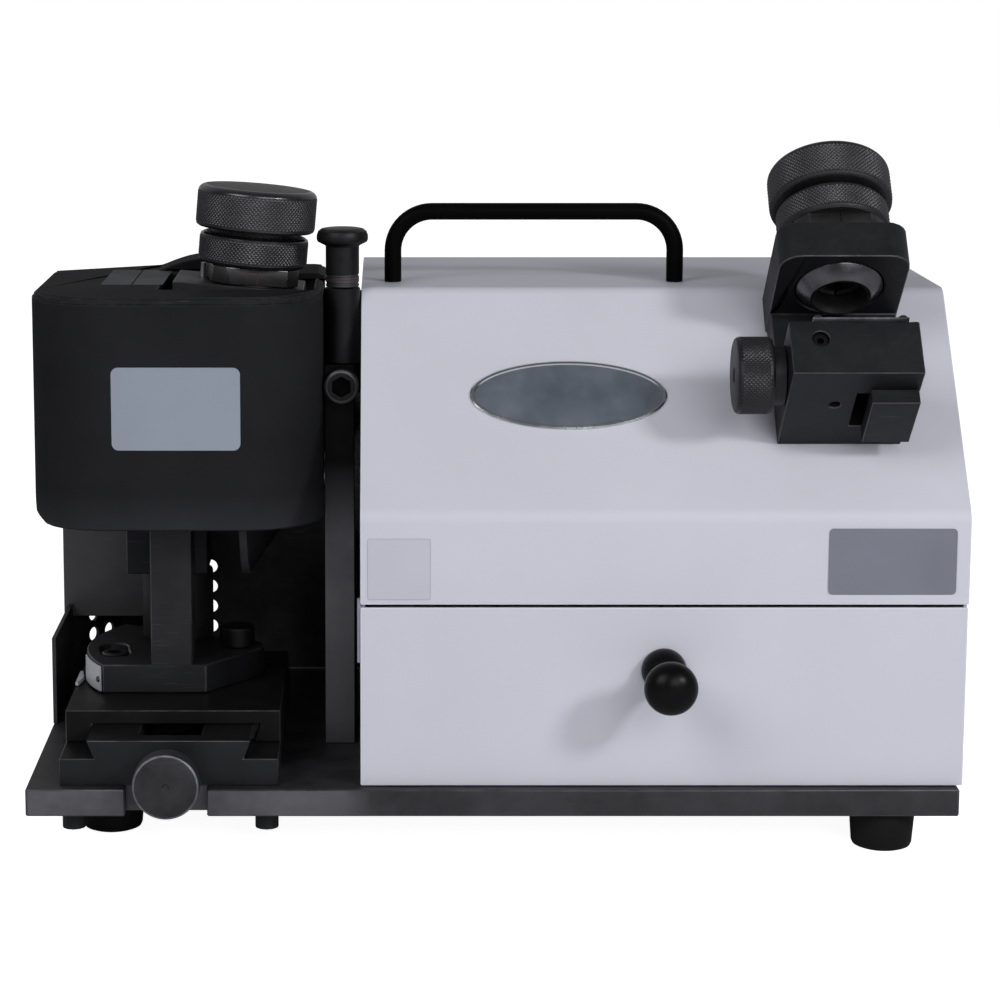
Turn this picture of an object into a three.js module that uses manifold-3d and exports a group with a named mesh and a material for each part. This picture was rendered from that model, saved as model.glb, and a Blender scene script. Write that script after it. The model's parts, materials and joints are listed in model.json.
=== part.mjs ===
// End mill grinder: a bench machine that re-sharpens end mills on a dish wheel.
// Millimetres, +Z up. The left end of the base plate is X = 0, its front edge is Y = 0
// and the bench is Z = 0. The finished group is moved so that its box stands on the origin.

import * as THREE from 'three';
import { mergeVertices } from 'three/addons/utils/BufferGeometryUtils.js';
import Module from 'manifold-3d';

const wasm = await Module();
wasm.setup();

// Clearances and cuts
const fit = 0.3;
const slide = 0.5;
const overrun = 2;
const weld = 0.0001;

// Round shapes: number of sides
const fineSides = 36;
const midSides = 20;
const smallSides = 12;
const cornerSteps = 5;

// Base plate
const plateWide = 340;
const plateDeep = 186;
const plateThick = 10;
const plateChamfer = 0.6;
const notchWide = 30;
const notchDeep = 7.5;
const notchX = 51.2;

// Feet
const footHigh = 15;
const footTopRadius = 12;
const footLowRadius = 11;
const footEdge = 1.5;
const footFrontLeftX = 28.3;
const footFrontLeftY = 37.3;
const footFrontRightInset = 25.5;
const footFrontRightY = 15.2;
const footRearInset = 27;
const footRearY = 163;

// Slide base with its dovetail
const slideWide = 80;
const slideX = 52;
const slideFrontY = 5.4;
const slideDeep = 126;
const slideBodyHigh = 10;
const dovetailHigh = 6.8;
const dovetailTopWide = 59.8;
const dovetailUndercut = 2.6;
const nutChannelWide = 23;
const bridgeDeep = 8;
const slideScrewRadius = 2.5;
const slideScrewHeadRadius = 4.3;
const slideScrewHeadHigh = 7;
const slideScrewInset = 4.5;
const slideScrewY = 11.5;
const slideScrewGrip = 6;

// Saddle, gib, feed screw
const saddleSetBack = 21.9;
const saddleLength = 90;
const saddleHigh = 11.9;
const gibThick = 2.2;
const gibShort = 6;
const feedScrewRadius = 3.2;
const feedAxisHigh = 4.2;
const feedCollarRadius = 5.6;
const feedKnobRadius = 12.3;
const feedKnobLong = 8.5;
const feedKnobChamfer = 0.9;
const feedKnobFrontY = -11;
const feedNutDeep = 26;
const feedNutBack = 22;
const feedNutSideGap = 2;

// Swivel lever: it turns about a vertical axis through the tool tip
const pivotX = 73.3;
const pivotY = 82;
const leverThick = 11;
const leverFrontY = 51.1;
const leverFrontRightX = 63;
const leverArcRadius = 58.5;
const leverEndRadius = 10.3;
const leverBackAngle = 143.3;
const pivotPinRadius = 5;
const pivotHeadRadius = 6.8;
const pivotHeadHigh = 7.8;
const clampRadius = 48;
const clampAngle = 189;
const clampSweep = 6.6;
const clampHeadRadius = 5;
const clampHeadHigh = 6;
const clampShankRadius = 3;
const clampFloor = 4;
const clampGrip = 3.5;
const strapThick = 0.6;
const strapHigh = 10;
const strapStart = 192;
const strapEnd = 211.6;
const pointerWide = 2.6;
const pointerLong = 17;
const pointerHigh = 1.6;
const pointerY = 70;

// Holder that carries the left chuck
const armX = 49.9;
const armWide = 15.5;
const armDeep = 20.3;
const postRadius = 14;
const postX = 49;
const postY = 99;
const holderLowLeft = 30;
const holderLowRight = 61.5;
const holderLowFront = 86;
const holderLowBack = 114;
const holderLowZ = 86;
const bridgeLowZ = 171;
const bridgeThick = 9;
const holderTopZ = 201.2;
const holderTopLeft = 51;
const holderTopRight = 100;
const holderTopFront = 63;
const holderTopBack = 103;
const indexPinRadius = 1;
const indexPinHigh = 5.6;
const indexPinGrip = 6;
const indexPinAlong = 6;

// Chucks, one in the holder and one in the setting fixture
const chuckLean = 5;
const chuckY = 83;
const chuckX = 79.5;
const chuckSeatGap = 0.5;
const chuckTurn = 10.8;
const collarFlats = 33;
const collarRadius = 20;
const collarHigh = 6.4;
const ringRadius = 20.9;
const ringHigh = 11.7;
const neckRadius = 16.5;
const neckHigh = 1.5;
const threadRadius = 13.5;
const threadHigh = 11;
const shankRadius = 16;
const shankLong = 15.4;
const noseLong = 4.7;
const noseRadius = 11.3;
const chuckBore = 9.7;
const colletRadius = 9.2;
const colletBore = 7;
const colletLong = 44;
const colletSlit = 1;
const colletInset = 3;
const capRadius = 22.9;
const capHigh = 16;
const capRoof = 2.4;
const capEdge = 2;
const ringEdge = 1;

// Column plate with its screw and pull pin
const pillarThick = 11;
const pillarX = 113.7;
const pillarFrontY = 60;
const pillarDeep = 90;
const pillarTopZ = 172.4;
const spindleBore = 15;
const pillarScrewX = 114.6;
const pillarScrewDown = 7.2;
const pillarScrewHeadRadius = 6.45;
const pillarScrewHeadHigh = 8;
const pillarScrewRadius = 2.5;
const pillarScrewGrip = 14;
const socketRadius = 3.4;
const socketDeep = 4;
const plungerX = 114.9;
const plungerY = 66.8;
const plungerBodyRadius = 6.7;
const plungerBodyHigh = 28.4;
const plungerPinRadius = 3;
const plungerPinDown = 3;
const plungerSleeveRadius = 6.3;
const plungerSleeveHigh = 15.6;
const plungerHeadRadius = 9.7;
const plungerHeadHigh = 6.6;
const plungerHeadEdge = 1.8;
const screwHeadEdge = 0.5;

// Wheel guard
const guardLeft = -1.2;
const guardRight = 107.8;
const guardFrontY = 28;
const guardBackY = 147;
const guardLowZ = 115;
const guardTopZ = 201.5;
const guardWall = 3;
const guardCorner = 29;
const guardBackCorner = 6;
const guardTopEdge = 2.4;
const guardLowEdge = 9;
const guardSlantX = 46;
const guardSlantY = 121;
const guardSlotLeft = 46;
const guardSlotRight = 104;
const guardSlotFront = 55;
const guardSlotBack = 111;
const guardGateFront = 92;
const humpLeft = 41;
const humpRamp = 19;
const humpRight = 96.5;
const humpFall = 16.5;
const humpRise = 5;
const humpFront = 118;

// Splash guards behind the wheel
const panelThick = 1.5;
const panelLeft = -2;
const panelRight = 52;
const panelLowZ = 54.4;
const panelHigh = 131.6;
const screenY = 175;
const screenThick = 1.5;
const screenTopZ = 150;
const tabLeft = 100;
const tabTopZ = 187;
const wingFrontY = 87.8;
const wingBackY = 151;
const wingTopZ = 59.7;
const slantX = 18;
const holeRadius = 2.95;
const holePitch = 8.6;
const holeSides = 6;
const holeLowZ = 43.5;
const wallHoleX = 58;
const wallHoleRows = 4;
const slantHoleFirst = 13.2;
const slantHoleStep = 9.8;
const slantHoleRows = [2, 1];

// Spindle motor and wheel
const spindleY = 85;
const spindleZ = 127.6;
const motorRadius = 45;
const motorWall = 3;
const motorLong = 112;
const motorFace = 4.5;
const spigotRadius = 30;
const bearingSeatLong = 16;
const bearingLong = 9;
const bearingRadius = 16;
const shaftRadius = 7;
const shaftFrontX = 77;
const shaftTail = 4;
const statorTail = 18;
const statorBore = 26;
const statorSet = 18;
const rotorRadius = 25.2;
const endCapThick = 6;
const wheelFaceX = 76;
const wheelRadius = 40;
const wheelBackRadius = 22;
const wheelDeep = 15;
const wheelRim = 3;
const wheelRimWide = 7;
const wheelPlate = 4.5;
const wheelInner = 17;
const hubRadius = 14;
const hubLong = 12;
const wheelNutFlats = 22;
const wheelNutHigh = 6.5;

// Housing: lower case, hood and drawer
const houseLeft = 122;
const houseOverhang = 2;
const houseFrontY = 4.3;
const houseBackY = 181;
const sheet = 1.5;
const hoodLowZ = 92.9;
const foldZ = 125.8;
const roofY = 69.1;
const roofZ = 200.6;
const bendRadius = 3;
const bendSteps = 3;
const hoodProud = 0.3;
const motorHoleGap = 1.2;
const drawerTopZ = 91.8;
const drawerFrontThick = 1.8;
const trayHigh = 45;
const trayLift = 0.4;
const trayDeep = 158;
const trayWall = 1.2;
const knobZ = 68.8;
const ballRadius = 9.6;
const ballOut = 26.3;
const knobFlangeRadius = 8.2;
const knobFlangeThick = 2.2;
const knobNeckRadius = 5;

// Carry handle
const handleInset = 12;
const handleWide = 108.4;
const handleY = 89;
const handleHigh = 27.1;
const handleBarRadius = 3.25;
const handleBend = 17;
const handleSteps = 28;
const handleSides = 8;
const handleFootRadius = 5.2;
const handleFootHigh = 1.2;

// Rear switch and cable gland
const switchInset = 32;
const switchZ = 62;
const switchWide = 22;
const switchHigh = 30;
const switchRim = 2;
const switchFlange = 1.6;
const switchBodyDeep = 12;
const rockerPocketDeep = 8;
const rockerGap = 1.2;
const rockerDeep = 6.6;
const rockerKink = 1.4;
const rockerTilt = 7;
const glandInset = 72;
const glandZ = 52;
const glandRadius = 8.5;
const glandLong = 9;
const glandShank = 6;
const glandBore = 3.6;
const glandInside = 9;
const glandEdge = 2;

// Setting fixture on the sloping panel: X is counted from the plate's right end, Y runs up
// the slope from the fold and Z stands off it
const fixtureX = -43.2;
const fixtureBaseLeft = -66.2;
const fixtureBaseWide = 46.2;
const fixtureBaseLow = 51.8;
const fixtureBaseThick = 13;
const collarPlateWide = 47.4;
const collarPlateLow = 78.3;
const collarPlateThick = 15.2;
const collarPlateHigh = 50.5;
const collarPlateCorner = 8;
const fixtureAxisHigh = 30;
const blockLeft = -66;
const blockWide = 46.2;
const blockLow = 29.7;
const blockDeep = 21.6;
const blockHigh = 48.6;
const blockStep = 1.2;
const channelLeft = -41.7;
const channelLow = 13;
const channelHigh = 22;
const channelDeep = 16.3;
const blockHoleX = -48.7;
const blockHoleHigh = 27.4;
const blockHoleRadius = 2.1;
const blockHoleDeep = 9;
const setScrewX = -55.2;
const setScrewUp = 44.2;
const setScrewRadius = 2.9;
const setScrewHoleDeep = 7;
const setScrewLong = 5;
const jawLeft = -37.4;
const jawWide = 17;
const jawThick = 5.8;
const jawLow = 11.8;
const jawHigh = 26.7;
const tongueWide = 13.5;
const tongueHigh = 20;
const gaugeAxisUp = 41.2;
const gaugeAxisHigh = 29;
const gaugeScrewRadius = 3;
const gaugeScrewEnd = -28.5;
const gaugeKnobLeft = -84;
const gaugeKnobLong = 13.3;
const gaugeKnobRadius = 14;
const gaugeBossRadius = 10.8;
const gaugeKnobEdge = 1.2;
const tongueBoreEnd = 2;
const gaugeStripLeft = -57.5;
const gaugeStripWide = 34;
const gaugeStripThick = 0.8;
const gaugeStripHigh = 6;
const gaugeStripRise = 1.4;

// Levels that follow from the sizes above
const plateTopZ = footHigh + plateThick;
const shoulderZ = plateTopZ + slideBodyHigh;
const dovetailTopZ = shoulderZ + dovetailHigh;
const saddleFrontY = slideFrontY + saddleSetBack;
const saddleTopZ = shoulderZ + fit + saddleHigh;
const leverLowZ = saddleTopZ + fit;
const leverTopZ = leverLowZ + leverThick;
const feedZ = plateTopZ + feedAxisHigh;
const pillarScrewZ = pillarTopZ - pillarScrewDown;
const pillarLeft = pillarX - pillarThick / 2;
const pillarRight = pillarX + pillarThick / 2;
const motorFrontX = pillarRight + fit;
const motorShellX = houseLeft + fit + sheet + fit;
const statorLong = motorLong - statorSet - statorTail;
const motorBackX = motorShellX + motorLong;
const houseRight = plateWide + houseOverhang;
const knobX = (houseLeft + houseRight) / 2;
const handleLeftX = houseLeft + handleInset;
const handleRightX = handleLeftX + handleWide;
const switchX = plateWide - switchInset;
const glandX = plateWide - glandInset;
const slopeRise = Math.atan2(roofZ - foldZ, roofY - houseFrontY);

function material(color, roughness, metalness) {
  return new THREE.MeshStandardMaterial({ color, roughness, metalness });
}

const blackedSteel = material(0x3a3c3f, 0.55, 0.7);
const plateSteel = material(0x4a4c50, 0.5, 0.7);
const knurledSteel = material(0x5c5d60, 0.5, 0.8);
const brightSteel = material(0xb9bcc0, 0.35, 0.9);
const guardPaint = material(0x2c2e30, 0.6, 0.1);
const housePaint = material(0xe4e6ee, 0.45, 0.0);
const blackPlastic = material(0x141416, 0.35, 0.0);
const rubber = material(0x18181a, 0.85, 0.0);
const abrasive = material(0x8c8f93, 0.9, 0.1);
const copper = material(0x9a6a45, 0.5, 0.6);
const castAlloy = material(0x8f9296, 0.5, 0.6);

const model = new THREE.Group();
const fixture = new THREE.Group();
fixture.position.set(plateWide, houseFrontY, foldZ);
fixture.rotation.x = slopeRise;
model.add(fixture);

function solid(geometry) {
  const bare = geometry.clone();
  bare.deleteAttribute('normal');
  bare.deleteAttribute('uv');
  const merged = mergeVertices(bare, weld);
  const vertProperties = new Float32Array(merged.attributes.position.array);
  const triVerts = new Uint32Array(merged.index.array);
  return new wasm.Manifold(new wasm.Mesh({ numProp: 3, vertProperties, triVerts }));
}

function surface(body) {
  const mesh = body.getMesh();
  const geometry = new THREE.BufferGeometry();
  geometry.setAttribute('position', new THREE.BufferAttribute(mesh.vertProperties, 3));
  geometry.setIndex(new THREE.BufferAttribute(mesh.triVerts, 1));
  return geometry;
}

function cut(body, ...tools) {
  return tools.reduce((rest, tool) => rest.subtract(tool), body);
}

function join(body, ...others) {
  return others.reduce((whole, other) => whole.add(other), body);
}

function piece(name, body, look, parent = model) {
  const mesh = new THREE.Mesh(surface(body), look);
  mesh.name = name;
  parent.add(mesh);
  return mesh;
}

// A block between two corners
function block(x0, x1, y0, y1, z0, z1) {
  const geometry = new THREE.BoxGeometry(x1 - x0, y1 - y0, z1 - z0);
  geometry.translate((x0 + x1) / 2, (y0 + y1) / 2, (z0 + z1) / 2);
  return solid(geometry);
}

// A turned solid: the profile is a list of radius and height, about the Z axis
function turnedShape(profile, sides) {
  const points = profile.map(([radius, height]) => new THREE.Vector2(radius, height));
  const geometry = new THREE.LatheGeometry(points, sides);
  geometry.rotateX(Math.PI / 2);
  return geometry;
}

const quarter = Math.PI / 2;
const towards = {
  x: (geometry) => geometry.rotateY(quarter),
  y: (geometry) => geometry.rotateX(-quarter),
  z: (geometry) => geometry,
};

// The same, laid along an axis and moved to its place
function turned(profile, sides, axis, x, y, z) {
  return solid(towards[axis](turnedShape(profile, sides)).translate(x, y, z));
}

function rodProfile(radius, start, end, edge = 0) {
  if (edge === 0) {
    return [[0, start], [radius, start], [radius, end], [0, end]];
  }
  return [[0, start], [radius - edge, start], [radius, start + edge],
    [radius, end - edge], [radius - edge, end], [0, end]];
}

function tubeProfile(inner, outer, start, end) {
  return [[inner, start], [outer, start], [outer, end], [inner, end], [inner, start]];
}

function rod(radius, start, end, sides, axis, x, y, z, edge = 0) {
  return turned(rodProfile(radius, start, end, edge), sides, axis, x, y, z);
}

function tube(inner, outer, start, end, sides, axis, x, y, z) {
  return turned(tubeProfile(inner, outer, start, end), sides, axis, x, y, z);
}

function outline(points) {
  return new THREE.Shape(points.map(([x, y]) => new THREE.Vector2(x, y)));
}

// A flat outline pushed along Z between two heights
function extruded(shape, z0, z1) {
  const geometry = new THREE.ExtrudeGeometry(shape, {
    depth: z1 - z0,
    bevelEnabled: false,
    curveSegments: cornerSteps,
  });
  geometry.translate(0, 0, z0);
  return solid(geometry);
}

// An outline drawn in Y and Z, pushed along X
function extrudedAlongX(points, x0, x1) {
  const geometry = new THREE.ExtrudeGeometry(outline(points), {
    depth: x1 - x0,
    bevelEnabled: false,
  });
  geometry.rotateX(quarter);
  geometry.rotateZ(quarter);
  geometry.translate(x0, 0, 0);
  return solid(geometry);
}

// An outline drawn in X and Z, pushed along Y
function extrudedAlongY(points, y0, y1) {
  const geometry = new THREE.ExtrudeGeometry(outline(points), {
    depth: y1 - y0,
    bevelEnabled: false,
  });
  geometry.rotateX(quarter);
  geometry.translate(0, y1, 0);
  return solid(geometry);
}

function arcPoints(x, y, radius, fromDegrees, toDegrees, steps) {
  const points = [];
  for (let i = 0; i <= steps; i += 1) {
    const angle = THREE.MathUtils.degToRad(fromDegrees + ((toDegrees - fromDegrees) * i) / steps);
    points.push([x + radius * Math.cos(angle), y + radius * Math.sin(angle)]);
  }
  return points;
}

// A rectangle whose four corner radii go round from the low left one
function roundedBox(x0, x1, y0, y1, [lowLeft, lowRight, highRight, highLeft]) {
  return [
    ...arcPoints(x0 + lowLeft, y0 + lowLeft, lowLeft, 180, 270, cornerSteps),
    ...arcPoints(x1 - lowRight, y0 + lowRight, lowRight, 270, 360, cornerSteps),
    ...arcPoints(x1 - highRight, y1 - highRight, highRight, 0, 90, cornerSteps),
    ...arcPoints(x0 + highLeft, y1 - highLeft, highLeft, 90, 180, cornerSteps),
  ];
}

function basePlate() {
  const body = extruded(outline([
    [plateChamfer, 0], [plateWide - plateChamfer, 0], [plateWide, plateChamfer],
    [plateWide, plateDeep], [0, plateDeep], [0, plateChamfer],
  ]), footHigh, plateTopZ);
  const notch = block(notchX - notchWide / 2, notchX + notchWide / 2, -overrun, notchDeep,
    footHigh - overrun, plateTopZ + overrun);
  const holes = slideScrewPlaces().map((x) => rod(slideScrewRadius + fit, footHigh - overrun,
    plateTopZ + overrun, smallSides, 'z', x, slideScrewY, 0));
  piece('base_plate', cut(body, notch, ...holes), plateSteel);
}

function feet() {
  const places = {
    foot_front_left: [footFrontLeftX, footFrontLeftY],
    foot_front_right: [plateWide - footFrontRightInset, footFrontRightY],
    foot_rear_left: [footRearInset, footRearY],
    foot_rear_right: [plateWide - footRearInset, footRearY],
  };
  for (const [name, [x, y]] of Object.entries(places)) {
    const profile = [[0, 0], [footLowRadius - footEdge, 0], [footLowRadius, footEdge],
      [footTopRadius, footHigh], [0, footHigh]];
    piece(name, turned(profile, midSides, 'z', x, y, 0), rubber);
  }
}

function slideScrewPlaces() {
  return [slideX - slideWide / 2 + slideScrewInset, slideX + slideWide / 2 - slideScrewInset];
}

function slideScrews() {
  const names = ['slide_screw_left', 'slide_screw_right'];
  slideScrewPlaces().forEach((x, i) => {
    const low = footHigh - fit;
    const top = plateTopZ + slideScrewGrip;
    const profile = [[0, low - slideScrewHeadHigh], [slideScrewHeadRadius, low - slideScrewHeadHigh],
      [slideScrewHeadRadius, low], [slideScrewRadius, low], [slideScrewRadius, top], [0, top]];
    piece(names[i], turned(profile, smallSides, 'z', x, slideScrewY, 0), blackedSteel);
  });
}

function slideBase() {
  const back = slideFrontY + slideDeep;
  const body = block(slideX - slideWide / 2, slideX + slideWide / 2, slideFrontY, back,
    plateTopZ, shoulderZ);
  const top = dovetailTopWide / 2;
  const neck = top - dovetailUndercut;
  const dovetail = extrudedAlongY([
    [slideX - neck, shoulderZ - overrun], [slideX + neck, shoulderZ - overrun],
    [slideX + neck, shoulderZ], [slideX + top, dovetailTopZ],
    [slideX - top, dovetailTopZ], [slideX - neck, shoulderZ],
  ], slideFrontY, back);
  const channel = block(slideX - nutChannelWide / 2, slideX + nutChannelWide / 2,
    slideFrontY + bridgeDeep, back - bridgeDeep, plateTopZ - overrun, dovetailTopZ + overrun);
  const bore = rod(feedScrewRadius + fit, slideFrontY - overrun, back + overrun,
    smallSides, 'y', slideX, 0, feedZ);
  const holes = slideScrewPlaces().map((x) => rod(slideScrewRadius + fit, plateTopZ - overrun,
    plateTopZ + slideScrewGrip + fit, smallSides, 'z', x, slideScrewY, 0));
  piece('slide_base', cut(join(body, dovetail), channel, bore, ...holes), blackedSteel);
}

// Flank of the dovetail on the right, moved out by a gap
function flank(gap) {
  const top = slideX + dovetailTopWide / 2 + gap;
  return { top, neck: top - dovetailUndercut };
}

function saddle() {
  const back = saddleFrontY + saddleLength;
  const low = shoulderZ + fit;
  const left = slideX - dovetailTopWide / 2 - fit;
  const right = flank(fit + gibThick + fit);
  const roof = dovetailTopZ + fit;
  const body = block(slideX - slideWide / 2, slideX + slideWide / 2, saddleFrontY, back,
    low, saddleTopZ);
  const slot = extrudedAlongY([
    [left + dovetailUndercut, low - overrun], [right.neck, low - overrun],
    [right.neck, shoulderZ], [right.top, roof], [left, roof], [left + dovetailUndercut, shoulderZ],
  ], saddleFrontY - overrun, back + overrun);
  const clamp = clampPlace();
  const screwHole = rod(clampShankRadius + fit, saddleTopZ - clampGrip, saddleTopZ + overrun,
    smallSides, 'z', clamp.x, clamp.y, 0);
  const pinHole = rod(pivotPinRadius + fit, roof - overrun, saddleTopZ + overrun,
    midSides, 'z', pivotX, pivotY, 0);
  piece('saddle', cut(body, slot, screwHole, pinHole), blackedSteel);
}

function gibStrip() {
  const inner = flank(fit);
  const outer = flank(fit + gibThick);
  const strip = extrudedAlongY([
    [inner.neck, shoulderZ + fit], [outer.neck, shoulderZ + fit],
    [outer.top, dovetailTopZ], [inner.top, dovetailTopZ],
  ], saddleFrontY + gibShort / 2, saddleFrontY + saddleLength - gibShort / 2);
  piece('gib_strip', strip, plateSteel);
}

function feedParts() {
  const knobBack = feedKnobFrontY + feedKnobLong;
  const screwEnd = slideFrontY + slideDeep - bridgeDeep / 2;
  const profile = [[0, knobBack + fit], [feedCollarRadius, knobBack + fit],
    [feedCollarRadius, slideFrontY - fit], [feedScrewRadius, slideFrontY - fit],
    [feedScrewRadius, screwEnd], [0, screwEnd]];
  piece('feed_screw', turned(profile, smallSides, 'y', slideX, 0, feedZ), brightSteel);
  const knob = rod(feedKnobRadius, feedKnobFrontY, knobBack, fineSides, 'y', slideX, 0, feedZ,
    feedKnobChamfer);
  piece('feed_knob', knob, knurledSteel);
  const nutFront = saddleFrontY + feedNutBack;
  const nutHalf = nutChannelWide / 2 - feedNutSideGap;
  const nut = block(slideX - nutHalf, slideX + nutHalf, nutFront, nutFront + feedNutDeep,
    plateTopZ + fit, dovetailTopZ);
  const bore = rod(feedScrewRadius + fit, nutFront - overrun, nutFront + feedNutDeep + overrun,
    smallSides, 'y', slideX, 0, feedZ);
  piece('feed_nut', cut(nut, bore), brightSteel);
}

function clampPlace() {
  const angle = THREE.MathUtils.degToRad(clampAngle);
  return { x: pivotX + clampRadius * Math.cos(angle), y: pivotY + clampRadius * Math.sin(angle) };
}

// Curved slot about the pivot, as an outline
function arcSlot(halfWide, sweep) {
  const start = clampAngle - sweep;
  const end = clampAngle + sweep;
  const a = THREE.MathUtils.degToRad(start);
  const b = THREE.MathUtils.degToRad(end);
  return [
    ...arcPoints(pivotX, pivotY, clampRadius + halfWide, start, end, cornerSteps),
    ...arcPoints(pivotX + clampRadius * Math.cos(b), pivotY + clampRadius * Math.sin(b),
      halfWide, end, end + 180, cornerSteps).slice(1, -1),
    ...arcPoints(pivotX, pivotY, clampRadius - halfWide, end, start, cornerSteps),
    ...arcPoints(pivotX + clampRadius * Math.cos(a), pivotY + clampRadius * Math.sin(a),
      halfWide, start + 180, start + 360, cornerSteps).slice(1, -1),
  ];
}

function leverOutline() {
  const dx = leverFrontRightX - pivotX;
  const dy = leverFrontY - pivotY;
  const toFront = THREE.MathUtils.radToDeg(
    Math.atan2(dy, dx) + Math.acos(leverEndRadius / Math.hypot(dx, dy)));
  const toBack = leverBackAngle
    - THREE.MathUtils.radToDeg(Math.acos(leverEndRadius / leverArcRadius));
  const frontAngle = 180 + THREE.MathUtils.radToDeg(
    Math.asin((pivotY - leverFrontY) / leverArcRadius));
  return [
    [leverFrontRightX, leverFrontY],
    ...arcPoints(pivotX, pivotY, leverEndRadius, toFront, toBack, 2 * cornerSteps),
    ...arcPoints(pivotX, pivotY, leverArcRadius, leverBackAngle, frontAngle, 3 * cornerSteps),
  ];
}

function swivelLever() {
  const body = extruded(outline(leverOutline()), leverLowZ, leverTopZ);
  const wide = extruded(outline(arcSlot(clampHeadRadius + slide, clampSweep)),
    leverLowZ + clampFloor, leverTopZ + overrun);
  const narrow = extruded(outline(arcSlot(clampShankRadius + slide, clampSweep)),
    leverLowZ - overrun, leverTopZ + overrun);
  const bore = rod(pivotPinRadius + fit, leverLowZ - overrun, leverTopZ + overrun,
    midSides, 'z', pivotX, pivotY, 0);
  piece('swivel_lever', cut(body, wide, narrow, bore), blackedSteel);
}

function leverFittings() {
  const pinLow = dovetailTopZ + fit;
  const pinTop = leverTopZ + fit;
  const pin = [[0, pinLow], [pivotPinRadius, pinLow], [pivotPinRadius, pinTop],
    [pivotHeadRadius, pinTop], [pivotHeadRadius, pinTop + pivotHeadHigh - screwHeadEdge],
    [pivotHeadRadius - screwHeadEdge, pinTop + pivotHeadHigh], [0, pinTop + pivotHeadHigh]];
  piece('pivot_pin', turned(pin, midSides, 'z', pivotX, pivotY, 0), blackedSteel);
  const clamp = clampPlace();
  const headLow = leverLowZ + clampFloor + fit;
  const shankLow = saddleTopZ - clampGrip + fit;
  const screw = [[0, shankLow], [clampShankRadius, shankLow], [clampShankRadius, headLow],
    [clampHeadRadius, headLow], [clampHeadRadius, headLow + clampHeadHigh],
    [0, headLow + clampHeadHigh]];
  const socket = hexRod(clampHeadRadius, headLow + clampHeadHigh - clampHeadHigh / 2,
    headLow + clampHeadHigh + overrun, clamp.x, clamp.y);
  piece('lever_clamp_screw', cut(turned(screw, smallSides, 'z', clamp.x, clamp.y, 0), socket),
    blackedSteel);
  const strapMid = (leverLowZ + leverTopZ) / 2;
  const inner = leverArcRadius + fit;
  const strap = extruded(outline([
    ...arcPoints(pivotX, pivotY, inner, strapEnd, strapStart, 2 * cornerSteps),
    ...arcPoints(pivotX, pivotY, inner + strapThick, strapStart, strapEnd, 2 * cornerSteps),
  ]), strapMid - strapHigh / 2, strapMid + strapHigh / 2);
  piece('lever_scale_strip', strap, brightSteel);
  const pointerLeft = slideX - slideWide / 2;
  const pointerLow = saddleTopZ + fit;
  const pointer = extruded(outline([
    [pointerLeft, pointerY - pointerLong / 2],
    [pointerLeft + pointerWide / 2, pointerY - pointerLong / 2],
    [pointerLeft + pointerWide, pointerY],
    [pointerLeft + pointerWide / 2, pointerY + pointerLong / 2],
    [pointerLeft, pointerY + pointerLong / 2],
  ]), pointerLow, pointerLow + pointerHigh);
  piece('pointer_plate', pointer, brightSteel);
}

// Six-sided hole or bar, sized by the head that it sits in
function hexRod(headRadius, z0, z1, x, y) {
  const radius = headRadius / 2;
  return rod(radius, z0, z1, 6, 'z', x, y, 0);
}

function holderArm() {
  const low = leverTopZ + fit;
  const arm = block(armX - armWide / 2, armX + armWide / 2, leverFrontY, leverFrontY + armDeep,
    low, bridgeLowZ);
  piece('holder_arm', arm, blackedSteel);
  piece('holder_post', rod(postRadius, low, holderLowZ - fit, midSides, 'z', postX, postY, 0),
    blackedSteel);
}

// Frame of the left chuck: its axis leans to the right, its seat is the holder's top
function chuckFrame() {
  const frame = new THREE.Group();
  frame.position.set(chuckX, chuckY, holderTopZ);
  frame.rotation.y = THREE.MathUtils.degToRad(chuckLean);
  return frame;
}

function leaning(geometry) {
  const frame = chuckFrame();
  frame.updateMatrixWorld();
  return solid(geometry.applyMatrix4(frame.matrixWorld));
}

// The top face of the holder is square to the leaning chuck
function chuckHolder() {
  const low = block(holderLowLeft, holderLowRight, holderLowFront, holderLowBack,
    holderLowZ, bridgeLowZ + overrun);
  const bridge = block(holderLowLeft, armX + armWide / 2, leverFrontY, holderLowBack,
    bridgeLowZ + fit, bridgeLowZ + fit + bridgeThick);
  const head = block(holderTopLeft, holderTopRight, holderTopFront, holderTopBack,
    bridgeLowZ + fit, holderTopZ + shankLong / 2);
  const bore = leaning(turnedShape(rodProfile(shankRadius + fit, -shankLong * 2 - noseLong,
    shankLong), fineSides));
  const over = new THREE.BoxGeometry(plateWide, plateWide, shankLong * 2);
  over.translate(0, 0, shankLong);
  const pin = indexPinPlace();
  const pinHole = leaning(turnedShape(rodProfile(indexPinRadius + fit, -indexPinGrip - fit,
    overrun), smallSides).translate(pin.x, pin.y, 0));
  piece('chuck_holder', cut(join(low, bridge, head), leaning(over), bore, pinHole), blackedSteel);
}

// The index pin stands against the left flat of the collar
function indexPinPlace() {
  const turn = THREE.MathUtils.degToRad(chuckTurn);
  const out = collarFlats / 2 + indexPinRadius + fit;
  return {
    x: -out * Math.cos(turn) - indexPinAlong * Math.sin(turn),
    y: -out * Math.sin(turn) + indexPinAlong * Math.cos(turn),
  };
}

function indexPin() {
  const place = indexPinPlace();
  const body = leaning(turnedShape(rodProfile(indexPinRadius, -indexPinGrip, indexPinHigh),
    smallSides).translate(place.x, place.y, 0));
  piece('index_pin', body, brightSteel);
}

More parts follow.
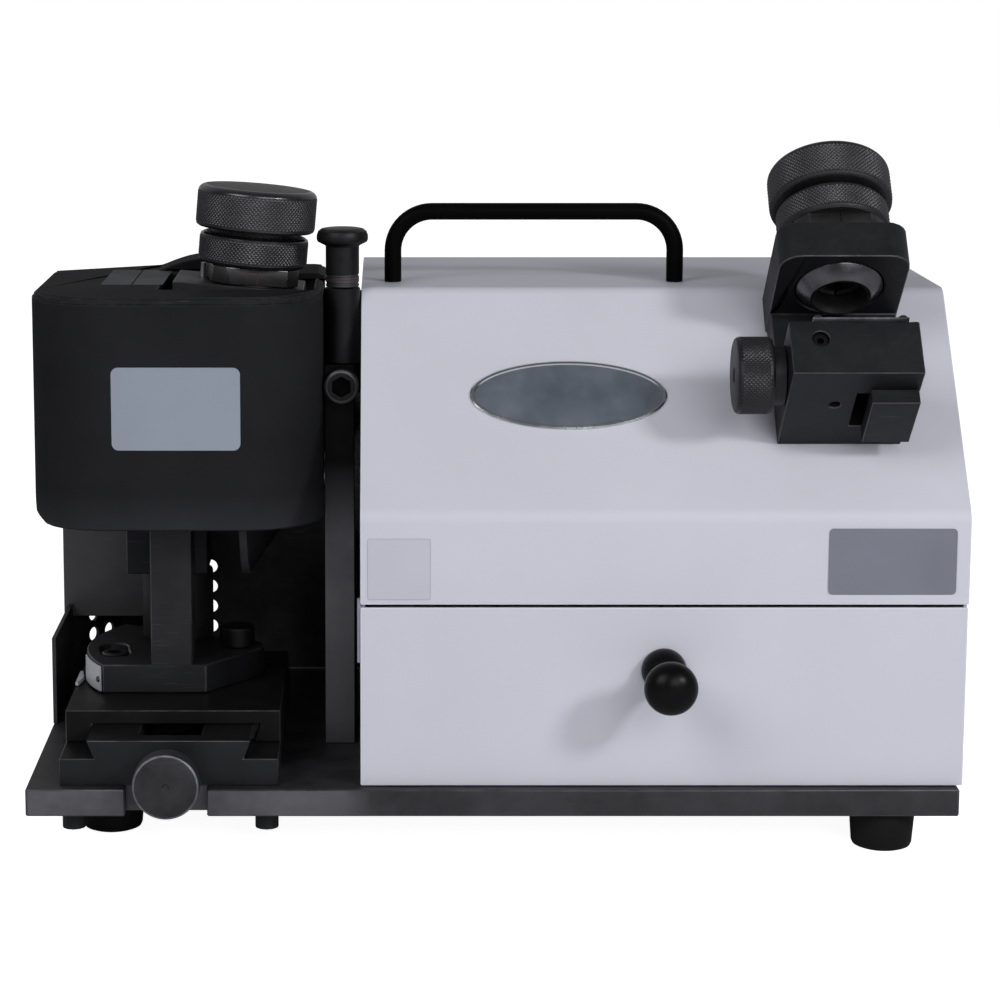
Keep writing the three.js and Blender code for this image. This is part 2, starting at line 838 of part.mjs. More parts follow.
// Chuck body about its own axis, with the underside of the square collar at zero
function chuckBody() {
  const ringLow = collarHigh;
  const ringTop = ringLow + ringHigh;
  const neckTop = ringTop + neckHigh;
  const top = neckTop + fit + threadHigh;
  const bore = chuckBore + fit;
  const profile = [
    [bore, -shankLong - noseLong], [noseRadius, -shankLong - noseLong], [shankRadius, -shankLong],
    [shankRadius, 0], [collarRadius, 0], [collarRadius, ringLow],
    [ringRadius - ringEdge, ringLow], [ringRadius, ringLow + ringEdge],
    [ringRadius, ringTop - ringEdge], [ringRadius - ringEdge, ringTop],
    [neckRadius, ringTop], [neckRadius, neckTop], [threadRadius, neckTop], [threadRadius, top],
    [bore, top], [bore, -shankLong - noseLong],
  ];
  const body = solid(turnedShape(profile, fineSides));
  const half = collarFlats / 2;
  const flats = [0, 1, 2, 3].map((i) => {
    const side = new THREE.BoxGeometry(collarRadius, capRadius * 2, collarHigh + overrun);
    side.translate(half + collarRadius / 2, 0, (collarHigh + overrun) / 2 - overrun);
    return solid(side.rotateZ(i * quarter));
  });
  return cut(body, ...flats);
}

function collet() {
  const start = -shankLong + colletInset;
  const body = solid(turnedShape(tubeProfile(colletBore, colletRadius, start, start + colletLong),
    midSides));
  const slits = [0, 1].map((i) => {
    const slit = new THREE.BoxGeometry(colletSlit, colletRadius * 3, colletLong);
    slit.translate(0, 0, start + colletLong / 2 - colletLong / 3);
    return solid(slit.rotateZ(i * quarter));
  });
  return cut(body, ...slits);
}

function capNut() {
  const low = collarHigh + ringHigh + neckHigh + fit;
  const top = low + capHigh;
  const inner = threadRadius + fit;
  return solid(turnedShape([
    [0, top - capRoof], [inner, top - capRoof], [inner, low], [capRadius - capEdge, low],
    [capRadius, low + capEdge], [capRadius, top - capEdge], [capRadius - capEdge, top],
    [0, top],
  ], fineSides));
}

function chuck(side, frame, turn) {
  const inside = new THREE.Group();
  inside.position.z = chuckSeatGap;
  inside.rotation.z = THREE.MathUtils.degToRad(turn);
  frame.add(inside);
  piece(`${side}_chuck_body`, chuckBody(), knurledSteel, inside);
  piece(`${side}_collet`, collet(), brightSteel, inside);
  piece(`${side}_cap_nut`, capNut(), knurledSteel, inside);
}

function columnPlate() {
  const body = block(pillarLeft, pillarRight, pillarFrontY, pillarFrontY + pillarDeep,
    plateTopZ, pillarTopZ);
  const bore = rod(spindleBore, pillarLeft - overrun, pillarRight + overrun, midSides, 'x',
    0, spindleY, spindleZ);
  const screwHole = rod(pillarScrewRadius + fit, pillarFrontY - overrun,
    pillarFrontY + pillarScrewGrip + fit, smallSides, 'y', pillarScrewX, 0, pillarScrewZ);
  const pinHole = rod(plungerPinRadius + fit, pillarTopZ - plungerPinDown - fit,
    pillarTopZ + overrun, smallSides, 'z', plungerX, plungerY, 0);
  piece('column_plate', cut(body, bore, screwHole, pinHole), blackedSteel);
  const front = pillarFrontY - fit;
  const screw = [[0, front - pillarScrewHeadHigh], [pillarScrewHeadRadius - screwHeadEdge,
    front - pillarScrewHeadHigh], [pillarScrewHeadRadius, front - pillarScrewHeadHigh
    + screwHeadEdge], [pillarScrewHeadRadius, front], [pillarScrewRadius, front],
  [pillarScrewRadius, pillarFrontY + pillarScrewGrip], [0, pillarFrontY + pillarScrewGrip]];
  const socket = rod(socketRadius, front - pillarScrewHeadHigh - overrun,
    front - pillarScrewHeadHigh + socketDeep, 6, 'y', pillarScrewX, 0, pillarScrewZ);
  piece('column_screw',
    cut(turned(screw, midSides, 'y', pillarScrewX, 0, pillarScrewZ), socket), blackedSteel);
}

function plunger() {
  const low = pillarTopZ + fit;
  const top = low + plungerBodyHigh;
  piece('plunger_body', tube(plungerPinRadius + fit, plungerBodyRadius, low, top, midSides, 'z',
    plungerX, plungerY, 0), knurledSteel);
  const sleeveLow = top + fit;
  const headLow = sleeveLow + plungerSleeveHigh;
  const headTop = headLow + plungerHeadHigh;
  const profile = [
    [0, pillarTopZ - plungerPinDown], [plungerPinRadius, pillarTopZ - plungerPinDown],
    [plungerPinRadius, sleeveLow], [plungerSleeveRadius, sleeveLow],
    [plungerSleeveRadius, headLow],
    [plungerHeadRadius, headLow + plungerHeadEdge], [plungerHeadRadius, headTop - plungerHeadEdge],
    [plungerHeadRadius - plungerHeadEdge, headTop], [0, headTop],
  ];
  piece('plunger_knob', turned(profile, midSides, 'z', plungerX, plungerY, 0), knurledSteel);
}

// Where the slanted rear corner meets the back wall and the left wall, drawn in by an inset
function guardSlant(inset) {
  const run = guardSlantX - guardLeft;
  const rise = guardBackY - guardSlantY;
  const length = Math.hypot(run, rise);
  const x = guardLeft + (inset * rise) / length;
  const y = guardSlantY - (inset * run) / length;
  const left = guardLeft + inset;
  const back = guardBackY - inset;
  return [[x + ((back - y) * run) / rise, back], [left, y + ((left - x) * rise) / run]];
}

function guardPlan(inset) {
  const front = guardCorner - inset;
  const back = guardBackCorner - inset;
  const left = guardLeft + inset;
  const right = guardRight - inset;
  const low = guardFrontY + inset;
  const high = guardBackY - inset;
  return outline([
    ...arcPoints(left + front, low + front, front, 180, 270, cornerSteps),
    ...arcPoints(right - front, low + front, front, 270, 360, cornerSteps),
    ...arcPoints(right - back, high - back, back, 0, 90, cornerSteps),
    ...guardSlant(inset),
  ]);
}

// The roof edge of the guard is rounded by two short steps inwards
function guardShell() {
  const outer = extruded(guardPlan(0), guardLowZ, guardTopZ - guardTopEdge);
  const step = guardTopEdge / 3;
  const middle = extruded(guardPlan(step), guardTopZ - guardTopEdge - step, guardTopZ - step);
  const crown = extruded(guardPlan(guardTopEdge), guardTopZ - guardTopEdge - step, guardTopZ);
  const hollow = extruded(guardPlan(guardWall), guardLowZ - overrun, guardTopZ - guardWall);
  return cut(join(outer, middle, crown, guardHump()), hollow);
}

// Raised part of the roof at the back: it rises and falls in two quarter waves
function guardHump() {
  const steps = 2 * cornerSteps;
  const low = guardTopZ - guardWall / 2;
  const wave = (share) => guardTopZ + humpRise * Math.sin(share * quarter);
  const rise = [];
  const fall = [];
  for (let i = 0; i <= steps; i += 1) {
    rise.push([humpLeft + (humpRamp * i) / steps, wave(i / steps)]);
    fall.unshift([humpRight - (humpFall * i) / steps, wave(i / steps)]);
  }
  return extrudedAlongY([[humpLeft, low], ...rise, ...fall, [humpRight, low]],
    humpFront, guardBackY - guardBackCorner);
}

function wheelGuard() {
  const slotLow = guardTopZ - guardWall - overrun;
  const slot = block(guardSlotLeft, guardSlotRight, guardSlotFront, guardSlotBack,
    slotLow, guardTopZ + overrun);
  const gate = block(guardSlotRight - overrun, guardRight + overrun, guardGateFront, guardSlotBack,
    slotLow, guardTopZ + overrun);
  const side = block(guardRight - guardWall - overrun, guardRight + overrun,
    pillarFrontY - fit, guardBackY - guardWall, guardLowZ - overrun, guardTopZ - guardWall);
  const lowEdge = guardLowZ + guardLowEdge;
  const corner = extrudedAlongY([
    [guardLeft - overrun, guardLowZ - overrun], [guardLeft + guardLowEdge, guardLowZ - overrun],
    ...arcPoints(guardLeft + guardLowEdge, lowEdge, guardLowEdge, 270, 180, cornerSteps),
    [guardLeft - overrun, lowEdge],
  ], guardFrontY - overrun, guardBackY + overrun);
  piece('wheel_guard', cut(guardShell(), slot, gate, side, corner), guardPaint);
}

function deflectorPanel() {
  const panelY = guardBackY + fit;
  piece('deflector_panel', block(panelLeft, panelRight, panelY, panelY + panelThick,
    panelLowZ, panelLowZ + panelHigh), plateSteel);
}

// Plan of the slanted part of the screen, from the wing to the back wall
function screenSlant() {
  const run = slantX;
  const rise = screenY + screenThick - wingBackY;
  const thick = screenThick * Math.hypot(run, rise);
  return [
    [0, wingBackY], [thick / rise, wingBackY],
    [slantX + screenThick, screenY], [slantX + screenThick, screenY + screenThick],
    [slantX, screenY + screenThick],
  ];
}

// Round holes through the slanted part, counted along it from the wing
function slantHoles() {
  const angle = Math.atan2(screenY + screenThick - wingBackY, slantX);
  return slantHoleRows.flatMap((rows, i) => {
    const along = slantHoleFirst + i * slantHoleStep;
    return Array.from({ length: rows }, (_, row) => {
      const geometry = turnedShape(rodProfile(holeRadius, -overrun, screenThick + overrun),
        holeSides);
      geometry.rotateX(quarter);
      geometry.translate(along, 0, 0);
      geometry.rotateZ(angle);
      geometry.translate(0, wingBackY, holeLowZ + row * holePitch);
      return solid(geometry);
    });
  });
}

function splashScreen() {
  const low = plateTopZ + fit;
  const back = screenY + screenThick;
  const right = houseLeft - slide;
  const wall = block(slantX, right, screenY, back, low, screenTopZ);
  const tab = block(tabLeft, right, screenY, back, low, tabTopZ);
  const wing = block(0, screenThick, wingFrontY, wingBackY + weld, low, wingTopZ);
  const slant = extruded(outline(screenSlant()), low, screenTopZ);
  const panelY = guardBackY + fit;
  const notch = block(panelLeft, panelRight, panelY - fit, panelY + panelThick + fit,
    panelLowZ - fit, wingTopZ + overrun);
  const wallHoles = Array.from({ length: wallHoleRows }, (_, row) => rod(holeRadius,
    screenY - overrun, back + overrun, holeSides, 'y', wallHoleX, 0, holeLowZ + row * holePitch));
  piece('splash_screen', cut(join(wall, tab, wing, slant), notch, ...wallHoles, ...slantHoles()),
    plateSteel);
}

function motor() {
  const seatEnd = motorFrontX + bearingSeatLong;
  const shell = join(
    rod(spigotRadius, motorFrontX, motorShellX + motorFace, fineSides, 'x',
      0, spindleY, spindleZ),
    rod(motorRadius, motorShellX, motorShellX + motorFace, fineSides, 'x', 0, spindleY, spindleZ),
    rod(bearingRadius + motorWall, motorFrontX, seatEnd, midSides, 'x', 0, spindleY, spindleZ),
    tube(motorRadius - motorWall, motorRadius, motorShellX, motorBackX, fineSides, 'x',
      0, spindleY, spindleZ),
  );
  const bearingSeat = rod(bearingRadius + fit, seatEnd - bearingLong - fit, seatEnd + overrun,
    midSides, 'x', 0, spindleY, spindleZ);
  const passage = rod(spindleBore, motorFrontX - overrun, seatEnd, midSides, 'x',
    0, spindleY, spindleZ);
  piece('motor_shell', cut(shell, bearingSeat, passage), castAlloy);
  piece('front_bearing', tube(shaftRadius + fit, bearingRadius, seatEnd - bearingLong, seatEnd,
    midSides, 'x', 0, spindleY, spindleZ), brightSteel);
  const statorStart = motorShellX + statorSet;
  piece('motor_stator', tube(statorBore, motorRadius - motorWall - fit, statorStart,
    statorStart + statorLong, fineSides, 'x', 0, spindleY, spindleZ), copper);
  const capStart = motorBackX + fit;
  const cap = join(
    rod(motorRadius, capStart, capStart + endCapThick, fineSides, 'x', 0, spindleY, spindleZ),
    rod(bearingRadius + motorWall, capStart - bearingLong, capStart + endCapThick, midSides, 'x',
      0, spindleY, spindleZ),
  );
  const capSeat = rod(bearingRadius + fit, capStart - bearingLong - overrun,
    capStart + endCapThick / 2 + fit, midSides, 'x', 0, spindleY, spindleZ);
  const capHole = rod(shaftRadius + slide, capStart, capStart + endCapThick + overrun,
    midSides, 'x', 0, spindleY, spindleZ);
  piece('motor_end_cap', cut(cap, capSeat, capHole), castAlloy);
  const rearStart = capStart + endCapThick / 2 - bearingLong;
  piece('rear_bearing', tube(shaftRadius + fit, bearingRadius, rearStart, rearStart + bearingLong,
    midSides, 'x', 0, spindleY, spindleZ), brightSteel);
  const shaftEnd = capStart + endCapThick + shaftTail;
  const rotor = [[0, shaftFrontX], [shaftRadius, shaftFrontX], [shaftRadius, statorStart],
    [rotorRadius, statorStart], [rotorRadius, statorStart + statorLong],
    [shaftRadius, statorStart + statorLong], [shaftRadius, shaftEnd], [0, shaftEnd]];
  piece('rotor_shaft', turned(rotor, midSides, 'x', 0, spindleY, spindleZ), brightSteel);
}

function grindingWheel() {
  const back = wheelFaceX + wheelDeep;
  const floor = back - wheelPlate;
  const bore = shaftRadius + fit;
  const profile = [
    [wheelRadius - wheelRimWide, wheelFaceX], [wheelRadius, wheelFaceX],
    [wheelRadius, wheelFaceX + wheelRim], [wheelBackRadius, back], [bore, back],
    [bore, floor], [wheelInner, floor], [wheelRadius - wheelRimWide, wheelFaceX],
  ];
  piece('grinding_wheel', turned(profile, fineSides, 'x', 0, spindleY, spindleZ), abrasive);
  piece('wheel_hub', tube(bore, hubRadius, back + fit, back + fit + hubLong, midSides, 'x',
    0, spindleY, spindleZ), brightSteel);
  const nutRadius = wheelNutFlats / Math.sqrt(3);
  const nutBack = floor - fit;
  const nutFront = nutBack - wheelNutHigh;
  const nut = rod(nutRadius, nutFront, nutBack, 6, 'x', 0, spindleY, spindleZ);
  const nutBore = rod(bore, nutFront - overrun, nutBack + overrun, midSides, 'x',
    0, spindleY, spindleZ);
  piece('wheel_nut', cut(nut, nutBore), brightSteel);
}

// Side view of the hood in Y and Z, drawn in by an inset, with rounded folds
function hoodSide(inset, low) {
  const front = houseFrontY + inset;
  const roof = roofZ - inset;
  const inwardY = Math.sin(slopeRise) * inset;
  const inwardZ = -Math.cos(slopeRise) * inset;
  const foldHigh = foldZ + inwardZ + (inset - inwardY) * Math.tan(slopeRise);
  const ridge = roofY + inwardY - (inset + inwardZ) / Math.tan(slopeRise);
  return [
    [front, low],
    ...bend([front, low], [front, foldHigh], [ridge, roof]),
    ...bend([front, foldHigh], [ridge, roof], [houseBackY - inset, roof]),
    ...bend([ridge, roof], [houseBackY - inset, roof], [houseBackY - inset, low]),
    [houseBackY - inset, low],
  ];
}

// A rounded corner at b, between the directions to a and c
function bend(a, b, c) {
  const corner = new THREE.Vector2(...b);
  const back = new THREE.Vector2(...a).sub(corner).normalize().multiplyScalar(bendRadius);
  const ahead = new THREE.Vector2(...c).sub(corner).normalize().multiplyScalar(bendRadius);
  const curve = new THREE.QuadraticBezierCurve(back.add(corner), corner, ahead.add(corner));
  return curve.getPoints(bendSteps).map((point) => [point.x, point.y]);
}

function hood() {
  const outer = extrudedAlongX(hoodSide(0, hoodLowZ), houseLeft, houseRight);
  const inner = extrudedAlongX(hoodSide(sheet, hoodLowZ - overrun), houseLeft + sheet,
    houseRight - sheet);
  const motorHole = rod(spigotRadius + motorHoleGap, houseLeft - overrun,
    houseLeft + sheet + overrun, fineSides, 'x', 0, spindleY, spindleZ);
  piece('upper_cover', cut(outer, inner, motorHole), housePaint);
}

function lowerCase() {
  const left = houseLeft + fit;
  const right = houseRight - hoodProud;
  const front = houseFrontY + drawerFrontThick + fit;
  const back = houseBackY - fit;
  const low = plateTopZ;
  const top = hoodLowZ - fit;
  const body = block(left, right, front, back, low, top);
  const room = block(left + sheet, right - sheet, front - overrun, back - sheet, low + sheet,
    top + overrun);
  const switchHole = block(switchX - switchWide / 2 + switchRim - fit,
    switchX + switchWide / 2 - switchRim + fit, back - sheet - overrun, back + overrun,
    switchZ - switchHigh / 2 + switchRim - fit, switchZ + switchHigh / 2 - switchRim + fit);
  const glandHole = rod(glandShank + fit, back - sheet - overrun, back + overrun, midSides, 'y',
    glandX, 0, glandZ);
  piece('lower_case', cut(body, room, switchHole, glandHole), housePaint);
}

function drawer() {
  const left = houseLeft + fit + sheet + slide;
  const right = houseRight - hoodProud - sheet - slide;
  const low = plateTopZ + sheet + trayLift;
  const top = low + trayHigh;
  const frontBack = houseFrontY + drawerFrontThick;
  const panel = block(houseLeft, houseRight - hoodProud, houseFrontY, frontBack,
    plateTopZ + fit, drawerTopZ);
  const tray = block(left, right, houseFrontY, frontBack + trayDeep, low, top);
  const room = block(left + trayWall, right - trayWall, frontBack,
    frontBack + trayDeep - trayWall, low + trayWall, top + overrun);
  piece('drawer', cut(join(panel, tray), room), housePaint);
  const start = houseFrontY - fit;
  const ballY = houseFrontY - ballOut;
  const neckMeets = Math.sqrt(ballRadius ** 2 - knobNeckRadius ** 2);
  const meetAngle = THREE.MathUtils.radToDeg(Math.asin(knobNeckRadius / ballRadius));
  const ball = arcPoints(0, 0, ballRadius, 0, 180 - meetAngle, 2 * cornerSteps)
    .map(([along, radius]) => [radius, ballY - along]);
  const profile = [
    ...ball.slice(0, -1), [knobNeckRadius, ballY + neckMeets],
    [knobNeckRadius, start - knobFlangeThick], [knobFlangeRadius, start - knobFlangeThick],
    [knobFlangeRadius, start], [0, start],
  ];
  profile[0] = [0, ballY - ballRadius];
  piece('drawer_knob', turned(profile, midSides, 'y', knobX, 0, knobZ), blackPlastic);
}

function carryHandle() {
  const foot = roofZ + fit;
  const top = roofZ + handleHigh;
  const at = (x, z) => new THREE.Vector3(x, handleY, z);
  const path = new THREE.CurvePath();
  path.add(new THREE.LineCurve3(at(handleLeftX, foot), at(handleLeftX, top - handleBend)));
  path.add(new THREE.QuadraticBezierCurve3(at(handleLeftX, top - handleBend),
    at(handleLeftX, top), at(handleLeftX + handleBend, top)));
  path.add(new THREE.LineCurve3(at(handleLeftX + handleBend, top),
    at(handleRightX - handleBend, top)));
  path.add(new THREE.QuadraticBezierCurve3(at(handleRightX - handleBend, top),
    at(handleRightX, top), at(handleRightX, top - handleBend)));
  path.add(new THREE.LineCurve3(at(handleRightX, top - handleBend), at(handleRightX, foot)));
  const section = outline(arcPoints(0, 0, handleBarRadius, 0, 360, handleSides).slice(0, -1));
  const bar = solid(new THREE.ExtrudeGeometry(section, {
    steps: handleSteps,
    bevelEnabled: false,
    extrudePath: path,
  }));
  const feetRings = [handleLeftX, handleRightX].map((x) => rod(handleFootRadius, foot,
    foot + handleFootHigh, smallSides, 'z', x, handleY, 0));
  piece('carry_handle', join(bar, ...feetRings), blackPlastic);
}

function powerSwitch() {
  const wall = houseBackY - fit;
  const half = { x: switchWide / 2, z: switchHigh / 2 };
  const flange = block(switchX - half.x, switchX + half.x, wall + fit, wall + fit + switchFlange,
    switchZ - half.z, switchZ + half.z);
  const body = block(switchX - half.x + switchRim, switchX + half.x - switchRim,
    wall - switchBodyDeep, wall + fit + overrun / 2, switchZ - half.z + switchRim,
    switchZ + half.z - switchRim);
  const pocketX = half.x - switchRim - overrun;
  const pocketZ = half.z - switchRim - overrun;
  const outside = wall + fit + switchFlange;
  const pocket = block(switchX - pocketX, switchX + pocketX, outside - rockerPocketDeep,
    outside + overrun, switchZ - pocketZ, switchZ + pocketZ);
  piece('switch_frame', cut(join(flange, body), pocket), blackPlastic);
  const reach = pocketZ - rockerGap;
  const inner = outside - rockerDeep + rockerGap;
  const side = [
    [inner, -reach / 2], [outside - slide, -reach], [outside + rockerKink, -reach], [outside, 0],
    [outside + rockerKink, reach], [outside - slide, reach], [inner, reach / 2],
  ].map(([y, z]) => [y - outside, z]);
  const rocker = extrudedAlongX(side, switchX - pocketX + slide, switchX + pocketX - slide);
  const mesh = piece('switch_rocker', rocker, blackPlastic);
  mesh.position.set(0, outside, switchZ);
  mesh.rotation.x = THREE.MathUtils.degToRad(rockerTilt);
}

function cableGland() {
  const wall = houseBackY - fit;
  const out = wall + fit;
  const end = out + glandLong;
  const profile = [
    [glandBore, wall - sheet - glandInside], [glandShank, wall - sheet - glandInside],
    [glandShank, out], [glandRadius, out], [glandRadius, end - glandEdge],
    [glandRadius - glandEdge, end], [glandBore, end], [glandBore, wall - sheet - glandInside],
  ];
  piece('cable_gland', turned(profile, midSides, 'y', glandX, 0, glandZ), blackPlastic);
}

function fixtureBody() {
  const plateBack = collarPlateLow + collarPlateThick;
  const base = block(fixtureBaseLeft, fixtureBaseLeft + fixtureBaseWide, fixtureBaseLow,
    plateBack, fit, fixtureBaseThick);
  const plate = extrudedAlongY(roundedBox(fixtureX - collarPlateWide / 2,
    fixtureX + collarPlateWide / 2, fit, collarPlateHigh,
    [plateChamfer, plateChamfer, collarPlateCorner, collarPlateCorner]),
  collarPlateLow, plateBack);
  const bore = rod(shankRadius + fit, collarPlateLow - overrun, plateBack + overrun,
    fineSides, 'y', fixtureX, 0, fixtureAxisHigh);
  piece('fixture_body', cut(join(base, plate), bore), blackedSteel, fixture);
}

function gaugeBlock() {
  const right = blockLeft + blockWide;
  const body = block(blockLeft, right, blockLow, blockLow + blockDeep, fit, blockHigh);
  const channel = block(channelLeft, right + overrun, blockLow - overrun, blockLow + channelDeep,
    channelLow, channelLow + channelHigh);
  const step = block(right - blockStep, right + overrun, blockLow - overrun,
    blockLow + blockDeep + overrun, fit - overrun, channelLow + channelHigh + blockStep);
  const screwBore = rod(gaugeScrewRadius + fit, blockLeft - overrun, channelLeft + overrun,
    smallSides, 'x', 0, gaugeAxisUp, gaugeAxisHigh);
  const frontHole = rod(blockHoleRadius, blockLow - overrun, blockLow + blockHoleDeep,
    smallSides, 'y', blockHoleX, 0, blockHoleHigh);
  const setHole = rod(setScrewRadius + fit, blockHigh - setScrewHoleDeep, blockHigh + overrun,
    smallSides, 'z', setScrewX, setScrewUp, 0);
  piece('gauge_block', cut(body, channel, step, screwBore, frontHole, setHole), blackedSteel,
    fixture);
  const setLow = blockHigh - setScrewHoleDeep + fit;
  const screw = rod(setScrewRadius, setLow, setLow + setScrewLong, smallSides, 'z',
    setScrewX, setScrewUp, 0);
  const socket = hexRod(setScrewRadius, setLow + setScrewLong / 2, setLow + setScrewLong + overrun,
    setScrewX, setScrewUp);
  piece('gauge_set_screw', cut(screw, socket), blackedSteel, fixture);
  const stripTop = blockHigh + gaugeStripRise;
  const stripLow = blockLow + blockDeep + fit / 2;
  piece('gauge_scale_strip', block(gaugeStripLeft, gaugeStripLeft + gaugeStripWide, stripLow,
    stripLow + gaugeStripThick, stripTop - gaugeStripHigh, stripTop), brightSteel, fixture);
}

function gaugeJaw() {
  const faceBack = blockLow - fit;
  const plate = block(jawLeft, jawLeft + jawWide, faceBack - jawThick, faceBack, jawLow,
    jawLow + jawHigh);
  const tongueRight = jawLeft + jawWide - blockStep;
  const tongueLeft = tongueRight - tongueWide;
  const tongueLow = channelLow + (channelHigh - tongueHigh) / 2;
  const tongue = block(tongueLeft, tongueRight, faceBack - overrun, blockLow + channelDeep - slide,
    tongueLow, tongueLow + tongueHigh);
  const bore = rod(gaugeScrewRadius + fit, tongueLeft - overrun, tongueRight - tongueBoreEnd,
    smallSides, 'x', 0, gaugeAxisUp, gaugeAxisHigh);
  piece('gauge_jaw', cut(join(plate, tongue), bore), knurledSteel, fixture);
}

function gaugeKnob() {
  const knobRight = gaugeKnobLeft + gaugeKnobLong;
  const bossEnd = blockLeft - fit;
  const knob = [
    [0, gaugeKnobLeft], [gaugeKnobRadius - gaugeKnobEdge, gaugeKnobLeft],
    [gaugeKnobRadius, gaugeKnobLeft + gaugeKnobEdge], [gaugeKnobRadius, knobRight - gaugeKnobEdge],
    [gaugeKnobRadius - gaugeKnobEdge, knobRight], [gaugeBossRadius, knobRight],
    [gaugeBossRadius, bossEnd - fit], [0, bossEnd - fit],
  ];
  piece('gauge_knob', turned(knob, fineSides, 'x', 0, gaugeAxisUp, gaugeAxisHigh), knurledSteel,
    fixture);
  piece('gauge_screw', rod(gaugeScrewRadius, bossEnd, gaugeScrewEnd, smallSides, 'x',
    0, gaugeAxisUp, gaugeAxisHigh), brightSteel, fixture);
}

function leftChuck() {
  const frame = chuckFrame();
  model.add(frame);
  chuck('left', frame, chuckTurn);
}

function rightChuck() {
  const frame = new THREE.Group();
  frame.position.set(fixtureX, collarPlateLow + collarPlateThick, fixtureAxisHigh);
  frame.rotation.x = -quarter;
  fixture.add(frame);
  chuck('right', frame, 0);
}

basePlate();
feet();
slideScrews();
slideBase();
saddle();
gibStrip();
feedParts();
swivelLever();
leverFittings();
holderArm();
chuckHolder();
indexPin();
leftChuck();
columnPlate();
plunger();
wheelGuard();
deflectorPanel();
splashScreen();
motor();
grindingWheel();
lowerCase();
hood();
drawer();
carryHandle();
powerSwitch();
cableGland();
fixtureBody();
gaugeBlock();
gaugeJaw();
gaugeKnob();
rightChuck();

// The finished machine stands on the origin, in the middle of its own box
model.updateMatrixWorld(true);
const span = new THREE.Box3().setFromObject(model, true);
const middle = span.getCenter(new THREE.Vector3());
const machine = new THREE.Group();
model.position.set(-middle.x, -middle.y, -span.min.z);
machine.add(model);
machine.updateMatrixWorld(true);

export default machine;
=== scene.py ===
# %% [markdown]
# # A bench grinder for end mills
# The machine stands on a ground steel plate. At the left a milled slide carries a swivelling
# holder, a knurled collet chuck and a black guard over the wheel. At the right a painted sheet
# housing holds the motor, a drawer and, on its slope, a setting fixture with a second chuck.
# The CAD gives every size, so this lesson loads it first and builds the looks around it.
# Lengths are written in millimetres and multiplied by MM where Blender needs metres.

# %% Load the frame
import json
import math

import bmesh
import bpy
from mathutils import Matrix, Vector


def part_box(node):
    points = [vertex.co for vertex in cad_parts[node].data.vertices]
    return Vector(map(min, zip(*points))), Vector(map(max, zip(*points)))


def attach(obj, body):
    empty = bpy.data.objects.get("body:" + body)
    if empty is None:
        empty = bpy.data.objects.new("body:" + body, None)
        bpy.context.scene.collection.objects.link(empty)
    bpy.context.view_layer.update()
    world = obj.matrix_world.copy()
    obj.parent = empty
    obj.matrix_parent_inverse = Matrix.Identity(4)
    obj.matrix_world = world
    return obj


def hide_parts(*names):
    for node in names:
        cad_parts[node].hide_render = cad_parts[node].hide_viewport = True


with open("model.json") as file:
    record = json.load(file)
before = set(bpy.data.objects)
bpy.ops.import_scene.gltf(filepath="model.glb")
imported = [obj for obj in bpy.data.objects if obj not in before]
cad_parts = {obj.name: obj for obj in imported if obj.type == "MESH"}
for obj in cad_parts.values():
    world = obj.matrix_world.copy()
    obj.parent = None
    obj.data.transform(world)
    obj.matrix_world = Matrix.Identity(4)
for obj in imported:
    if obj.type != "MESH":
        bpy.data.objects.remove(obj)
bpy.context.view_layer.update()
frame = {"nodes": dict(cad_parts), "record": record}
MM = 0.001

# %% [markdown]
# ## The camera
# The photograph was taken from a little left of the middle and about nine degrees above level,
# with a long lens and the picture shifted. The straight edges of the plate and the housing gave
# the place, the pitch and the lens, so the camera only repeats them.

# %% Camera
CAMERA_PLACE = (-0.03867, -1.04393, 0.32181)
DOWNWARD_PITCH = 9.029
bpy.ops.object.camera_add(location=CAMERA_PLACE,
                          rotation=(math.radians(90 - DOWNWARD_PITCH), 0, 0))
camera = bpy.context.object
camera.data.sensor_width = 36
camera.data.lens = 99
camera.data.shift_x = 0.114
camera.data.shift_y = -0.1
bpy.context.scene.camera = camera
bpy.context.scene.view_settings.view_transform = "Standard"
print("camera at", CAMERA_PLACE, "lens", camera.data.lens)

# %% [markdown]
# ## Tools for shader nodes
# Paints, metals, the floor and the world are all small networks of nodes. Four helpers keep
# them readable: one feeds an input, one adds a node, and two add the sums that return most.


# %% Node tools
def feed(tree, socket, value):
    """Puts a value on an input, or links the output of another node to it."""
    if isinstance(value, bpy.types.NodeSocket):
        tree.links.new(value, socket)
    else:
        socket.default_value = value


def add(tree, kind, **values):
    """Adds a node and feeds the inputs that are named, with _ for each space."""
    made = tree.nodes.new("ShaderNode" + kind)
    for label, value in values.items():
        feed(tree, made.inputs[label.replace("_", " ")], value)
    return made


def maths(tree, operation, a, b, clamp=False):
    node = add(tree, "Math")
    node.operation = operation
    node.use_clamp = clamp
    feed(tree, node.inputs[0], a)
    feed(tree, node.inputs[1], b)
    return node.outputs[0]


def remap(tree, value, low, high, to_low=0.0, to_high=1.0):
    node = add(tree, "MapRange", From_Min=low, From_Max=high, To_Min=to_low, To_Max=to_high,
               Value=value)
    return node.outputs["Result"]


def emptied(material_or_world):
    material_or_world.use_nodes = True
    material_or_world.node_tree.nodes.clear()
    return material_or_world.node_tree


# %% [markdown]
# ## Floor, world and lamps
# A product photograph has a white surround and soft light from the front. The white comes from
# the world and the floor as the camera sees them, and not from strong lamps, so the painted
# sheet keeps its pale blue grey. The side behind the viewer is darker, as in a real studio,
# and that keeps black paint black.

